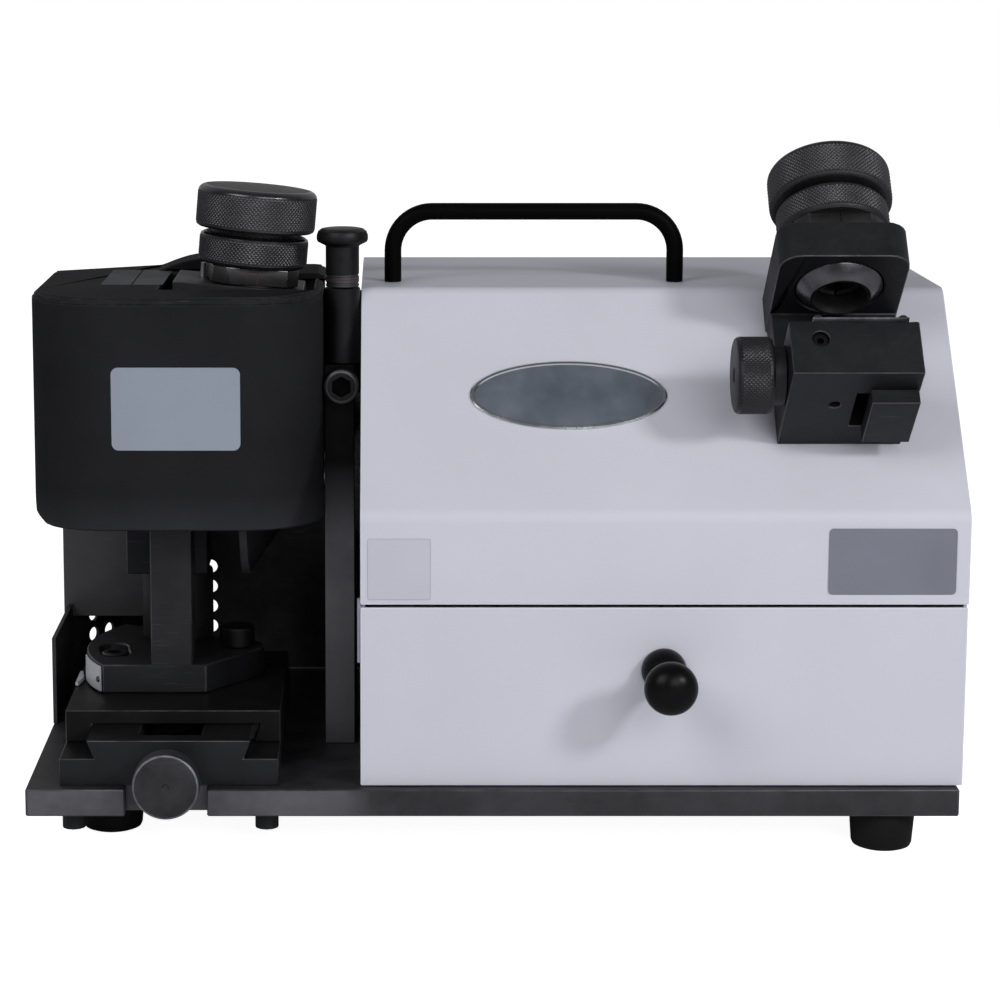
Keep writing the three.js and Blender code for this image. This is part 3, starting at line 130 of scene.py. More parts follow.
# %% Floor
FLOOR_GLOW = 0.94
bpy.ops.mesh.primitive_plane_add(size=9, location=(0, 0, -0.0002))
floor = bpy.context.object
floor.name = "studio_floor"
floor_paint = bpy.data.materials.new("floor white")
tree = emptied(floor_paint)
rays = add(tree, "LightPath")
matt = add(tree, "BsdfDiffuse", Color=(0.8, 0.8, 0.82, 1))
glow = add(tree, "Emission", Color=(1, 1, 1, 1),
           Strength=maths(tree, "MULTIPLY", rays.outputs["Is Camera Ray"], FLOOR_GLOW))
both = add(tree, "AddShader")
feed(tree, both.inputs[0], matt.outputs[0])
feed(tree, both.inputs[1], glow.outputs[0])
add(tree, "OutputMaterial", Surface=both.outputs[0])
floor.data.materials.append(floor_paint)
print("floor nodes:", len(tree.nodes))

# %% World
ROOM_LIGHT = 0.15
FAR_WALL_GLOSS = 0.34
WALL_STARTS, WALL_FULL = -0.1, 0.5
world = bpy.data.worlds.new("studio world")
bpy.context.scene.world = world
tree = emptied(world)
rays = add(tree, "LightPath")
where = add(tree, "TexCoord")
split = add(tree, "SeparateXYZ")
feed(tree, split.inputs[0], where.outputs["Generated"])
far_wall = remap(tree, split.outputs["Y"], WALL_STARTS, WALL_FULL, 0.0, FAR_WALL_GLOSS)
glossy = maths(tree, "MULTIPLY", rays.outputs["Is Glossy Ray"], far_wall)
seen = maths(tree, "MAXIMUM", rays.outputs["Is Camera Ray"], rays.outputs["Is Transmission Ray"])
backdrop = add(tree, "Background", Color=(1, 1, 1, 1))
room = add(tree, "Background", Color=(0.95, 0.97, 1.0, 1), Strength=ROOM_LIGHT)
mix = add(tree, "MixShader", Fac=maths(tree, "MAXIMUM", seen, glossy))
feed(tree, mix.inputs[1], room.outputs[0])
feed(tree, mix.inputs[2], backdrop.outputs[0])
add(tree, "OutputWorld", Surface=mix.outputs[0])
print("world nodes:", len(tree.nodes))


# %% Lamps
def softbox(name, place, target, size, watts):
    bpy.ops.object.light_add(type="AREA", location=place)
    lamp = bpy.context.object
    lamp.name = name
    lamp.data.shape = "RECTANGLE"
    lamp.data.size, lamp.data.size_y = size
    lamp.data.energy = watts
    aim = Vector(target) - Vector(place)
    lamp.rotation_euler = aim.to_track_quat("-Z", "Y").to_euler()
    print(name, watts, "W")


softbox("front box", (0.6, -2.0, 1.0), (0, 0, 0.12), (1.0, 0.9), 12)
softbox("lamp left of the lens", (-0.9, -1.15, 1.05), (-0.06, 0, 0.15), (0.8, 0.8), 9.5)
softbox("lamp right of the lens", (1.05, -1.1, 0.85), (0.02, 0, 0.15), (0.22, 0.22), 9.5)

# %% [markdown]
# ## Shader groups that several finishes share
# Real steel and paint are never one flat colour. Six effects return on the parts here: slow
# changes of tone, the fine texture that a cutter, a brush or a spray gun leaves, thin
# scratches, dust on what faces up, points that are rubbed bright on a knurl, and painted shade
# that starts at one place on a piece. Each is one node group, placed with its own values.

# %% Group tools
COLOUR, NUMBER, ARROW = "NodeSocketColor", "NodeSocketFloat", "NodeSocketVector"


def new_group(name, inputs, outputs):
    group = bpy.data.node_groups.new(name, "ShaderNodeTree")
    for label, kind, value in inputs:
        socket = group.interface.new_socket(label, in_out="INPUT", socket_type=kind)
        socket.default_value = value
    for label, kind in outputs:
        group.interface.new_socket(label, in_out="OUTPUT", socket_type=kind)
    print("group:", name)
    return group, group.nodes.new("NodeGroupInput"), group.nodes.new("NodeGroupOutput")


def vector_maths(tree, operation, a, b, label=1):
    node = add(tree, "VectorMath")
    node.operation = operation
    feed(tree, node.inputs[0], a)
    feed(tree, node.inputs[label], b)
    return node


def blend(tree, factor, a, b):
    node = add(tree, "Mix")
    node.data_type = "RGBA"
    feed(tree, node.inputs["Factor"], factor)
    feed(tree, node.inputs["A"], a)
    feed(tree, node.inputs["B"], (*b, 1))
    return node.outputs["Result"]


# %% Slow tones
slow_tones, given, result = new_group(
    "slow tones",
    [("Colour", COLOUR, (0.5, 0.5, 0.5, 1)), ("Size", NUMBER, 30), ("Depth", NUMBER, 0.15)],
    [("Colour", COLOUR), ("Value", NUMBER)])
tree = slow_tones
place = add(tree, "TexCoord")
cloud = add(tree, "TexNoise", Vector=place.outputs["Object"], Scale=given.outputs["Size"],
            Detail=4, Roughness=0.62)
spread = remap(tree, cloud.outputs["Fac"], 0.3, 0.7, -1, 1)
gain = maths(tree, "ADD", maths(tree, "MULTIPLY", spread, given.outputs["Depth"]), 1.0)
toned = vector_maths(tree, "SCALE", given.outputs["Colour"], gain, "Scale")
feed(tree, result.inputs["Colour"], toned.outputs[0])
feed(tree, result.inputs["Value"], remap(tree, cloud.outputs["Fac"], 0.3, 0.7))

# %% Fine texture
fine_texture, given, result = new_group(
    "fine texture",
    [("Stretch", ARROW, (1, 1, 1)), ("Size", NUMBER, 2000)],
    [("Height", NUMBER)])
tree = fine_texture
place = add(tree, "TexCoord")
pulled = vector_maths(tree, "MULTIPLY", place.outputs["Object"], given.outputs["Stretch"])
grain = add(tree, "TexNoise", Vector=pulled.outputs[0], Scale=given.outputs["Size"],
            Detail=3, Roughness=0.6)
feed(tree, result.inputs["Height"], grain.outputs["Fac"])

# %% Scratches
scratches, given, result = new_group(
    "scratches",
    [("Size", NUMBER, 60), ("Cover", NUMBER, 0.5)],
    [("Mask", NUMBER)])
tree = scratches
place = add(tree, "TexCoord")
masks = []
for turn, squeeze in ((0.5, 26), (2.2, 34)):
    slant = add(tree, "Mapping", Vector=place.outputs["Object"],
                Rotation=(turn, turn * 0.7, turn * 1.3), Scale=(1, squeeze, squeeze))
    line = add(tree, "TexNoise", Vector=slant.outputs[0], Scale=given.outputs["Size"], Detail=1.5)
    masks.append(remap(tree, line.outputs["Fac"], 0.66, 0.74))
area = add(tree, "TexNoise", Vector=place.outputs["Object"], Scale=26)
zone = remap(tree, area.outputs["Fac"], 0.45, 0.65)
worn = maths(tree, "MULTIPLY", maths(tree, "MAXIMUM", *masks), zone)
feed(tree, result.inputs["Mask"],
     maths(tree, "MULTIPLY", worn, given.outputs["Cover"], clamp=True))

# %% Settled dust
settled_dust, given, result = new_group(
    "settled dust", [("Cover", NUMBER, 0.3)], [("Mask", NUMBER)])
tree = settled_dust
place = add(tree, "TexCoord")
facing = add(tree, "SeparateXYZ")
feed(tree, facing.inputs[0], place.outputs["Normal"])
upward = remap(tree, facing.outputs["Z"], 0.35, 0.95)
grains = add(tree, "TexNoise", Vector=place.outputs["Object"], Scale=420, Detail=3)
drifts = add(tree, "TexNoise", Vector=place.outputs["Object"], Scale=38)
speckle = remap(tree, grains.outputs["Fac"], 0.42, 0.72)
drift = remap(tree, drifts.outputs["Fac"], 0.38, 0.68)
dusty = maths(tree, "MULTIPLY", maths(tree, "MULTIPLY", upward, speckle), drift)
feed(tree, result.inputs["Mask"],
     maths(tree, "MULTIPLY", dusty, given.outputs["Cover"], clamp=True))

# %% Rubbed crests
BARE_POINT = (0.32, 0.32, 0.34)
rubbed_crests, given, result = new_group(
    "rubbed crests",
    [("Colour", COLOUR, (0.5, 0.5, 0.5, 1)), ("Height", NUMBER, 0), ("Cover", NUMBER, 0.2)],
    [("Colour", COLOUR)])
tree = rubbed_crests
worn = maths(tree, "MULTIPLY", given.outputs["Height"], given.outputs["Cover"])
feed(tree, result.inputs["Colour"], blend(tree, worn, given.outputs["Colour"], BARE_POINT))

# %% Painted shade band
# Painted shade: from one place on along a direction, the colour is blended towards near black.
PAINTED_SHADE_BLACK = (0.002, 0.002, 0.002)
painted_shade_band, given, result = new_group(
    "painted shade band",
    [("Colour", COLOUR, (0.5, 0.5, 0.5, 1)), ("Direction", ARROW, (0, 0, 1)),
     ("Start", NUMBER, 0), ("Full", NUMBER, 0.01), ("Strength", NUMBER, 0.5)],
    [("Colour", COLOUR)])
tree = painted_shade_band
place = add(tree, "TexCoord")
reach = vector_maths(tree, "DOT_PRODUCT", place.outputs["Object"], given.outputs["Direction"])
cover = remap(tree, reach.outputs["Value"], given.outputs["Start"], given.outputs["Full"],
              0, given.outputs["Strength"])
feed(tree, result.inputs["Colour"], blend(tree, cover, given.outputs["Colour"], PAINTED_SHADE_BLACK))
print("shader groups:", [g.name for g in bpy.data.node_groups])

# %% [markdown]
# ## The finishes
# One recipe places the groups and the Principled shader. A finish is then a few numbers: its
# colour, how metallic and how rough it is, which way its texture runs, and how much it is
# scratched and dusty. Values that don't change over the surface sit on the shader's own sockets.
# The column's upper part, the plate's front edge under the housing and the guard above its
# lower edge are darkened from one place on with painted shade, which leaves the guard's lowest
# edge lighter as a painted reflection: there the recipe adds the shade band, with its direction,
# where it starts, where it is full, and its strength.


# %% A finish from the groups
def place_group(tree, group, **values):
    node = tree.nodes.new("ShaderNodeGroup")
    node.node_tree = group
    for label, value in values.items():
        feed(tree, node.inputs[label], value)
    return node


SCRATCH_SIZE = 70
DUST_DULLS, TEXTURE_DULLS = 0.5, 0.12
UP, TO_THE_RIGHT = (0, 0, 1), (1, 0, 0)


def finish(name, colour, metallic, rough, tone=(30, 0.12), grain=(1, 1, 1), fine=1800,
           bump=0.1, depth=0.00002, swing=0.08, scratch=0.3, scratch_colour=(0.4, 0.4, 0.42),
           dust=0.2, dust_colour=(0.35, 0.34, 0.33), tips=0.0, shine=0.5, shade_band=None):
    """Makes a material: colour and roughness come from the groups, the rest is constant."""
    made = bpy.data.materials.new(name)
    made.use_nodes = True
    tree = made.node_tree
    shader = tree.nodes["Principled BSDF"]
    tones = place_group(tree, slow_tones, Colour=(*colour, 1), Size=tone[0], Depth=tone[1])
    marks = place_group(tree, scratches, Size=SCRATCH_SIZE, Cover=scratch)
    powder = place_group(tree, settled_dust, Cover=dust)
    texture = place_group(tree, fine_texture, Stretch=grain, Size=fine)
    base = tones.outputs["Colour"]
    if tips:
        crest = add(tree, "Attribute")
        crest.attribute_name = "crest"
        base = place_group(tree, rubbed_crests, Colour=base, Height=crest.outputs["Fac"],
                           Cover=tips).outputs["Colour"]
    base = blend(tree, marks.outputs["Mask"], base, scratch_colour)
    base = blend(tree, powder.outputs["Mask"], base, dust_colour)
    # Painted shade from one place on, when a shade band is given.
    if shade_band:
        direction, start, full, strength = shade_band
        base = place_group(tree, painted_shade_band, Colour=base, Direction=direction, Start=start,
                           Full=full, Strength=strength).outputs["Colour"]
    feed(tree, shader.inputs["Base Color"], base)
    shader.inputs["Metallic"].default_value = metallic
    shader.inputs["Specular IOR Level"].default_value = shine
    drift = remap(tree, tones.outputs["Value"], 0, 1, rough - swing, rough + swing)
    stain = maths(tree, "MULTIPLY", powder.outputs["Mask"], DUST_DULLS)
    fine_swing = maths(tree, "MULTIPLY", texture.outputs["Height"], TEXTURE_DULLS)
    rough_value = maths(tree, "ADD", maths(tree, "ADD", drift, stain), fine_swing, clamp=True)
    feed(tree, shader.inputs["Roughness"], rough_value)
    relief = add(tree, "Bump", Strength=bump, Distance=depth, Height=texture.outputs["Height"])
    feed(tree, shader.inputs["Normal"], relief.outputs["Normal"])
    return made


# %% Paints and plastics
white_paint = finish("white powder paint", (0.568, 0.570, 0.642), 0.0, 0.44, tone=(9, 0.03),
                     fine=1500, bump=0.25, depth=0.00004, scratch=0.05, shine=0.28,
                     scratch_colour=(0.30, 0.30, 0.33), dust=0.03, dust_colour=(0.4, 0.4, 0.42))
# The guard's paint is darkened from 115 mm up, fully above 129 mm, as painted shade, so that its
# lowest edge stays lighter as a painted reflection of the floor.
guard_paint = finish("black wrinkle paint", (0.0250, 0.0258, 0.0290), 0.0, 0.6, tone=(16, 0.22),
                     fine=1300, bump=0.4, depth=0.00006, scratch=0.05, shine=0.025,
                     scratch_colour=(0.09, 0.09, 0.10), dust=0.06,
                     dust_colour=(0.10, 0.10, 0.11), shade_band=(UP, 0.115, 0.129, 0.48))
guard_edge = finish("rubbed guard edge", (0.015, 0.0155, 0.017), 0.0, 0.55, shine=0.06,
                    tone=(60, 0.4), fine=1300, bump=0.3, scratch=0.5,
                    scratch_colour=(0.22, 0.22, 0.24), dust=0.1)
flange_painted_shade = finish("flange in grey blue, painted shade", (0.26, 0.27, 0.33), 0.0, 0.45, tone=(12, 0.05),
                      fine=1500, bump=0.2, dust=0.05)
gloss_black = finish("gloss black enamel", (0.0018, 0.0018, 0.0018), 0.0, 0.40, tone=(24, 0.2),
                     fine=900, bump=0.08, scratch=0.05, scratch_colour=(0.04, 0.04, 0.04),
                     dust=0.0, shine=0.025)
black_plastic = finish("black moulding", (0.003, 0.003, 0.0035), 0.0, 0.24, tone=(22, 0.2),
                       fine=1500, bump=0.06, scratch=0.04, scratch_colour=(0.04, 0.04, 0.04),
                       dust=0.0, shine=0.11, swing=0.04)
rubber = finish("black rubber", (0.004, 0.004, 0.0045), 0.0, 0.68, shine=0.2, tone=(40, 0.25),
                fine=900, bump=0.3, depth=0.00006, scratch=0.1,
                scratch_colour=(0.03, 0.03, 0.03), dust=0.2, dust_colour=(0.06, 0.06, 0.06))
print("paints and plastics:", len(bpy.data.materials))

# %% Steels
ground_plate = finish("ground plate steel", (0.058, 0.056, 0.062), 0.85, 0.50, tone=(44, 0.42),
                      grain=(0.06, 1, 1), fine=2600, bump=0.35, scratch=0.35,
                      scratch_colour=(0.20, 0.20, 0.21), dust=0.12,
                      dust_colour=(0.10, 0.10, 0.10))
# A lighter copy of the plate steel for the plate's front faces, as painted light, darkened from x
# = -56 mm and fully from -44 mm to the right, as painted shade under the housing.
front_steel_painted_light_and_shade = finish("ground front edge, painted light and shade", (0.125, 0.124, 0.136), 0.85, 0.50, tone=(44, 0.3),
                     grain=(0.06, 1, 1), fine=2600, bump=0.35, scratch=0.35,
                     scratch_colour=(0.24, 0.24, 0.25), dust=0.05,
                     shade_band=(TO_THE_RIGHT, -0.056, -0.044, 0.55))
# A lighter copy of the plate steel for the deflector panel: painted light where the guard's shadow
# falls.
panel_steel_painted_light = finish("ground panel steel, painted light", (0.092, 0.091, 0.097), 0.85, 0.50, tone=(30, 0.2),
                     grain=(0.06, 1, 1), fine=2600, bump=0.3, scratch=0.3,
                     scratch_colour=(0.22, 0.22, 0.23), dust=0.1)
milled_black = finish("blackened milled steel", (0.021, 0.022, 0.025), 0.75, 0.48,
                      tone=(34, 0.25), grain=(0.08, 1, 1), fine=2300, bump=0.3, scratch=0.3,
                      scratch_colour=(0.14, 0.14, 0.15), dust=0.12, dust_colour=(0.10, 0.10, 0.10))
upright_steel = finish("blackened steel, marks upright", (0.029, 0.029, 0.031), 0.75, 0.46,
                       tone=(30, 0.28), grain=(1, 1, 0.06), fine=2400, bump=0.35, scratch=0.3,
                       scratch_colour=(0.14, 0.14, 0.15), dust=0.1, dust_colour=(0.09, 0.09, 0.09))
# Column steel, lightened all over as painted light where the guard's shadow falls, and darkened
# from 105 mm up, nearly black above 135 mm, as painted shade.
column_steel_painted_light_and_shade = finish("column steel, painted light and shade", (0.105, 0.105, 0.112), 0.75, 0.46,
                      tone=(30, 0.28), grain=(1, 1, 0.06), fine=2400, bump=0.35, scratch=0.2,
                      scratch_colour=(0.14, 0.14, 0.15), dust=0.1,
                      dust_colour=(0.09, 0.09, 0.09), shade_band=(UP, 0.105, 0.135, 0.96), shine=0.2)
knurled_steel = finish("knurled oiled steel", (0.043, 0.042, 0.046), 0.85, 0.45, tone=(60, 0.2),
                       fine=2600, bump=0.15, scratch=0.2, scratch_colour=(0.2, 0.2, 0.21),
                       dust=0.05, tips=0.22)
dark_knurl = finish("knurled steel, dark", (0.030, 0.029, 0.032), 0.85, 0.45, tone=(60, 0.2),
                    fine=2600, bump=0.15, scratch=0.2, scratch_colour=(0.16, 0.16, 0.17),
                    dust=0.05, tips=0.09)
shoulder_steel = finish("turned shoulder", (0.075, 0.073, 0.080), 0.95, 0.22, tone=(60, 0.2),
                        fine=2600, bump=0.1, scratch=0.3, scratch_colour=(0.2, 0.2, 0.21),
                        dust=0.03)
oiled_black_and_shade = finish("oiled black steel, also painted shade", (0.012, 0.012, 0.013), 0.6, 0.46, shine=0.2,
                     tone=(34, 0.3), grain=(0.08, 1, 1), fine=2300, bump=0.3, scratch=0.25,
                     scratch_colour=(0.10, 0.10, 0.11), dust=0.08,
                     dust_colour=(0.06, 0.06, 0.06))
pin_black = finish("oiled black turning", (0.014, 0.0135, 0.015), 0.8, 0.40, tone=(50, 0.25),
                   fine=2600, bump=0.2, scratch=0.2, scratch_colour=(0.12, 0.12, 0.13),
                   dust=0.05)
turned_steel = finish("turned dark steel", (0.075, 0.073, 0.080), 0.9, 0.34, tone=(50, 0.18),
                      fine=2600, bump=0.2, scratch=0.25, scratch_colour=(0.25, 0.25, 0.26),
                      dust=0.08)
bright_steel = finish("bright steel", (0.45, 0.45, 0.47), 1.0, 0.30, tone=(60, 0.15),
                      grain=(0.1, 1, 1), fine=2600, bump=0.2, scratch=0.3,
                      scratch_colour=(0.2, 0.2, 0.2), dust=0.05)
scale_metal = finish("satin scale metal", (0.58, 0.59, 0.62), 0.45, 0.34, tone=(80, 0.12),
                     grain=(0.1, 1, 1), fine=3000, bump=0.15, scratch=0.3,
                     scratch_colour=(0.25, 0.25, 0.26), dust=0.05)
collar_steel = finish("milled collar steel", (0.046, 0.043, 0.045), 0.85, 0.42, tone=(60, 0.25),
                      grain=(1, 1, 0.1), fine=2600, bump=0.25, scratch=0.3,
                      scratch_colour=(0.16, 0.16, 0.17), dust=0.05)
nose_steel = finish("ground chuck nose", (0.105, 0.103, 0.112), 0.95, 0.20, tone=(70, 0.2),
                    grain=(1, 1, 0.1), fine=2600, bump=0.15, scratch=0.3,
                    scratch_colour=(0.16, 0.16, 0.16), dust=0.03)
knob_face = finish("faced knob end", (0.050, 0.050, 0.054), 0.85, 0.42, tone=(80, 0.3),
                   fine=2600, bump=0.2, scratch=0.4, scratch_colour=(0.20, 0.20, 0.21),
                   dust=0.03)
strip_metal = finish("dull strip metal", (0.18, 0.185, 0.205), 0.8, 0.36, tone=(160, 0.5),
                     grain=(1, 1, 1), fine=3000, bump=0.15, scratch=0.5,
                     scratch_colour=(0.45, 0.45, 0.47), dust=0.05)
copper = finish("varnished copper", (0.35, 0.16, 0.07), 0.9, 0.35, tone=(60, 0.2), dust=0.1)
# Diamond grit: its own dark grey, darkened further as painted shade under the guard.
abrasive = finish("diamond grit", (0.05, 0.05, 0.053), 0.3, 0.75, tone=(120, 0.35), fine=2200,
                  bump=0.9, depth=0.0002, scratch=0.1, dust=0.1)
worn_edge = finish("rubbed steel edge", (0.085, 0.084, 0.090), 0.9, 0.36, tone=(90, 0.4),
                   fine=2600, bump=0.2, scratch=0.3, dust=0.05)
# Lighter paint for the bevelled folds of the sheets: a painted highlight along each fold.
edge_paint_highlight = finish("paint on a folded edge, painted highlight", (0.64, 0.64, 0.71), 0.0, 0.38, tone=(12, 0.04),
                    fine=1500, bump=0.2, scratch=0.12, scratch_colour=(0.25, 0.25, 0.28),
                    dust=0.05)
engraved_and_pocket_shade = finish("engraved line, also painted pocket shade", (0.004, 0.004, 0.004), 0.2, 0.6, dust=0.0, scratch=0.0,
                  shine=0.05)
line_red = finish("faded red mark", (0.045, 0.012, 0.014), 0.2, 0.55, dust=0.0, scratch=0.0)
print("finishes:", len(bpy.data.materials))

# %% [markdown]
# ## Every CAD node gets a finish
# The CAD solids that already have the right shape stay as they are and only get a material.
# The others are replaced further down, and keep this finish where they show through.

# %% Finishes on the CAD nodes
FINISHES = {
    ground_plate: ["base_plate", "gib_strip"],
    panel_steel_painted_light: ["deflector_panel"],
    rubber: ["foot_front_left", "foot_front_right", "foot_rear_left", "foot_rear_right"],
    milled_black: ["slide_base", "gauge_jaw", "splash_screen", "swivel_lever",
                   "slide_screw_left", "slide_screw_right", "fixture_body", "gauge_block",
                   "chuck_holder", "lever_clamp_screw", "pivot_pin"],
    oiled_black_and_shade: ["saddle", "gauge_set_screw", "feed_nut", "motor_shell", "motor_end_cap"],
    upright_steel: ["holder_arm", "holder_post"],
    column_steel_painted_light_and_shade: ["column_plate", "column_screw"],
    knurled_steel: ["feed_knob", "gauge_knob", "left_chuck_body", "left_cap_nut",
                    "right_chuck_body", "right_cap_nut", "plunger_body", "plunger_knob"],
    bright_steel: ["index_pin", "left_collet", "right_collet",
                   "front_bearing", "rear_bearing", "rotor_shaft", "wheel_hub", "wheel_nut",
                   "gauge_screw"],
    pin_black: ["feed_screw"],
    scale_metal: ["lever_scale_strip", "pointer_plate"],
    strip_metal: ["gauge_scale_strip"],
    copper: ["motor_stator"],
    abrasive: ["grinding_wheel"],
    guard_paint: ["wheel_guard"],
    white_paint: ["lower_case", "upper_cover", "drawer"],
    black_plastic: ["drawer_knob", "switch_frame", "switch_rocker", "cable_gland"],
    gloss_black: ["carry_handle"],
}
node_finish = {}
for material, names in FINISHES.items():
    for name in names:
        mesh = frame["nodes"][name].data
        mesh.materials.clear()
        mesh.materials.append(material)
        node_finish[name] = material
print("nodes without a finish:", sorted(set(frame["nodes"]) - set(node_finish)))

# %% Where each node rides
BODY_OF = {}
for body, members in frame["record"]["behaviour"]["bodies"].items():
    for member in members:
        BODY_OF[member] = body
print("bodies:", sorted(set(BODY_OF.values())))

# %% [markdown]
# ## Tools for the modelling
# Every piece is made with the same few moves as by hand: select it alone, apply a modifier,
# smooth its faces, put it in its place, and say which body of the machine it moves with.


# %% Tools for the modelling
def nothing_selected():
    active = bpy.context.object
    if active and active.mode != "OBJECT":
        bpy.ops.object.mode_set(mode="OBJECT")
    bpy.ops.object.select_all(action="DESELECT")


def only(piece):
    nothing_selected()
    piece.select_set(True)
    bpy.context.view_layer.objects.active = piece


def use(piece, kind, **values):
    only(piece)
    modifier = piece.modifiers.new(kind.lower(), kind)
    for name, value in values.items():
        setattr(modifier, name, value)
    bpy.ops.object.modifier_apply(modifier=modifier.name)


def smooth(piece, degrees=28):
    only(piece)
    bpy.ops.object.shade_smooth_by_angle(angle=math.radians(degrees))


def settle(piece, matrix):
    """Puts the place and the turn into the mesh, so that the object stays at the origin."""
    only(piece)
    piece.matrix_world = matrix @ piece.matrix_world
    bpy.ops.object.transform_apply(location=True, rotation=True, scale=True)


def paint(piece, *materials):
    piece.data.materials.clear()
    for material in materials:
        piece.data.materials.append(material)


def finished(piece, name, node, *replaced):
    """Names a piece, lets it ride with the body of a node and hides the nodes it stands for."""
    piece.name = name
    piece.data.name = name
    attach(piece, BODY_OF[node])
    if replaced:
        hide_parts(*replaced)
    print(name, "faces:", len(piece.data.polygons), "rides", BODY_OF[node])
    return piece


def fitted(piece, place, name, node, *replaced, degrees=28):
    smooth(piece, degrees)
    settle(piece, place)
    return finished(piece, name, node, *replaced)


# %% Tools for places and for choosing faces
TO_FRONT = Matrix.Rotation(math.pi / 2, 4, "X")
TO_SIDE = Matrix.Rotation(math.pi / 2, 4, "Y")


def at(x, y, z):
    return Matrix.Translation((x * MM, y * MM, z * MM))


def shade_faces(piece, index, chosen):
    for face in piece.data.polygons:
        if chosen(face):
            face.material_index = index


def shade_more(piece, material, chosen):
    """Gives one more finish to the faces that are chosen."""
    piece.data.materials.append(material)
    shade_faces(piece, len(piece.data.materials) - 1, chosen)


FAR = 99


def band(low, high, radius=-1.0):
    """Chooses the faces of a turned piece between two heights, and outside a radius."""
    return lambda face: (low * MM < face.center.z < high * MM
                         and math.hypot(face.center.x, face.center.y) > radius * MM)


# %% [markdown]
# ## Blocks and sheets with broken edges
# A milled block or a folded sheet never has a knife edge, and the thin bright line along each
# edge is what makes it look solid. CAD solids have sharp edges, so each block is copied, its
# loose triangles are merged and dissolved into flat faces, and the Bevel modifier breaks the
# edges. On steel and on the guard the new faces get a rubbed finish of their own, and on the
# painted sheets a lighter paint, which is a painted highlight.

# %% Broken edges
CAD_WELD, FLAT_ENOUGH = 0.000004, math.radians(0.4)


def broken(node, width, rounds=1, edge=None, angle=40, name=None):
    only(frame["nodes"][node])
    bpy.ops.object.duplicate()
    piece = bpy.context.object
    piece.parent = None
    for key in list(piece.keys()):
        del piece[key]
    bpy.ops.mesh.customdata_custom_splitnormals_clear()
    bpy.ops.object.mode_set(mode="EDIT")
    bpy.ops.mesh.select_all(action="SELECT")
    bpy.ops.mesh.remove_doubles(threshold=CAD_WELD)
    bpy.ops.mesh.dissolve_limited(angle_limit=FLAT_ENOUGH)
    bpy.ops.object.mode_set(mode="OBJECT")
    paint(piece, node_finish[node], edge or node_finish[node])
    use(piece, "BEVEL", width=width * MM, segments=rounds, limit_method="ANGLE",
        angle_limit=math.radians(angle), use_clamp_overlap=False, material=1)
    smooth(piece, 32)
    use(piece, "WEIGHTED_NORMAL", keep_sharp=True)
    return finished(piece, name or node + "_block", node, node)


# %% Steel blocks
BLOCKS = [
    ("base_plate", 0.45, worn_edge), ("slide_base", 0.3, worn_edge),
    ("saddle", 0.35, worn_edge), ("swivel_lever", 0.5, worn_edge),
    ("holder_arm", 0.5, worn_edge), ("holder_post", 0.5, worn_edge),
    ("chuck_holder", 0.4, worn_edge), ("column_plate", 0.5, None),
    ("fixture_body", 0.4, worn_edge), ("gauge_block", 0.3, worn_edge),
    ("gauge_jaw", 0.25, worn_edge), ("deflector_panel", 0.2, worn_edge),
    ("lever_scale_strip", 0.2, bright_steel), ("pointer_plate", 0.2, bright_steel),
]
blocks = {node: broken(node, width, edge=edge) for node, width, edge in BLOCKS}
# The plate's front faces get the lighter copy: painted light, with painted shade under the
# housing.
shade_more(blocks["base_plate"], front_steel_painted_light_and_shade, lambda face: face.normal.y < -0.95)
# The slide base's top faces get the oiled black finish as painted shade.
shade_more(blocks["slide_base"], oiled_black_and_shade, lambda face: face.normal.z > 0.95)
print("blocks:", len(blocks))

# %% The arm's foot, drawn down a little so that no gap shows over the lever
FOOT_BAND, FOOT_DROP = 0.6, 0.8
corners = blocks["holder_arm"].data.vertices
arm_foot = min(corner.co.z for corner in corners)
for corner in corners:
    if corner.co.z < arm_foot + FOOT_BAND * MM:
        corner.co.z -= FOOT_DROP * MM
print("arm's foot at", round(arm_foot / MM - FOOT_DROP, 2))

# %% Guard, sheets and switch
broken("wheel_guard", 0.7, rounds=3, edge=guard_edge, angle=55, name="guard_shell")
for node, width, edge, name in (
        ("upper_cover", 0.45, edge_paint_highlight, "hood_sheet"),
        ("lower_case", 0.45, edge_paint_highlight, "case_sheet"),
        ("drawer", 0.5, edge_paint_highlight, "drawer_sheet"),
        ("switch_frame", 0.35, None, "switch_bezel"),
        ("switch_rocker", 0.3, None, "switch_key")):
    broken(node, width, rounds=2, edge=edge, name=name)

# %% [markdown]
# ## Turned parts
# Knobs, screws, feet and chucks come off a lathe, so they are made as on one: a profile is
# drawn point by point beside the axis and spun once around it. The first point and the last
# point lie on the axis, or meet, so that the shell is closed.

# %% Spin a profile
WELD = 0.000002


def first_point(x, y, z):
    """Starts a new mesh with one point and leaves it in edit mode."""
    nothing_selected()
    bpy.ops.mesh.primitive_plane_add(size=MM)
    bpy.ops.object.mode_set(mode="EDIT")
    bpy.ops.mesh.merge(type="CENTER")
    bpy.ops.transform.translate(value=(x * MM, y * MM, z * MM))
    return bpy.context.object


def turned(profile, sides):
    start_r, start_z = profile[0]
    piece = first_point(start_r, 0, start_z)
    for (r0, z0), (r1, z1) in zip(profile, profile[1:]):
        step = ((r1 - r0) * MM, 0, (z1 - z0) * MM)
        bpy.ops.mesh.extrude_vertices_move(TRANSFORM_OT_translate={"value": step})
    bpy.ops.mesh.select_all(action="SELECT")
    bpy.ops.mesh.spin(steps=sides, angle=2 * math.pi, center=(0, 0, 0), axis=(0, 0, 1))
    bpy.ops.mesh.select_all(action="SELECT")
    bpy.ops.mesh.remove_doubles(threshold=WELD)
    bpy.ops.mesh.normals_make_consistent(inside=False)
    bpy.ops.object.mode_set(mode="OBJECT")
    return piece


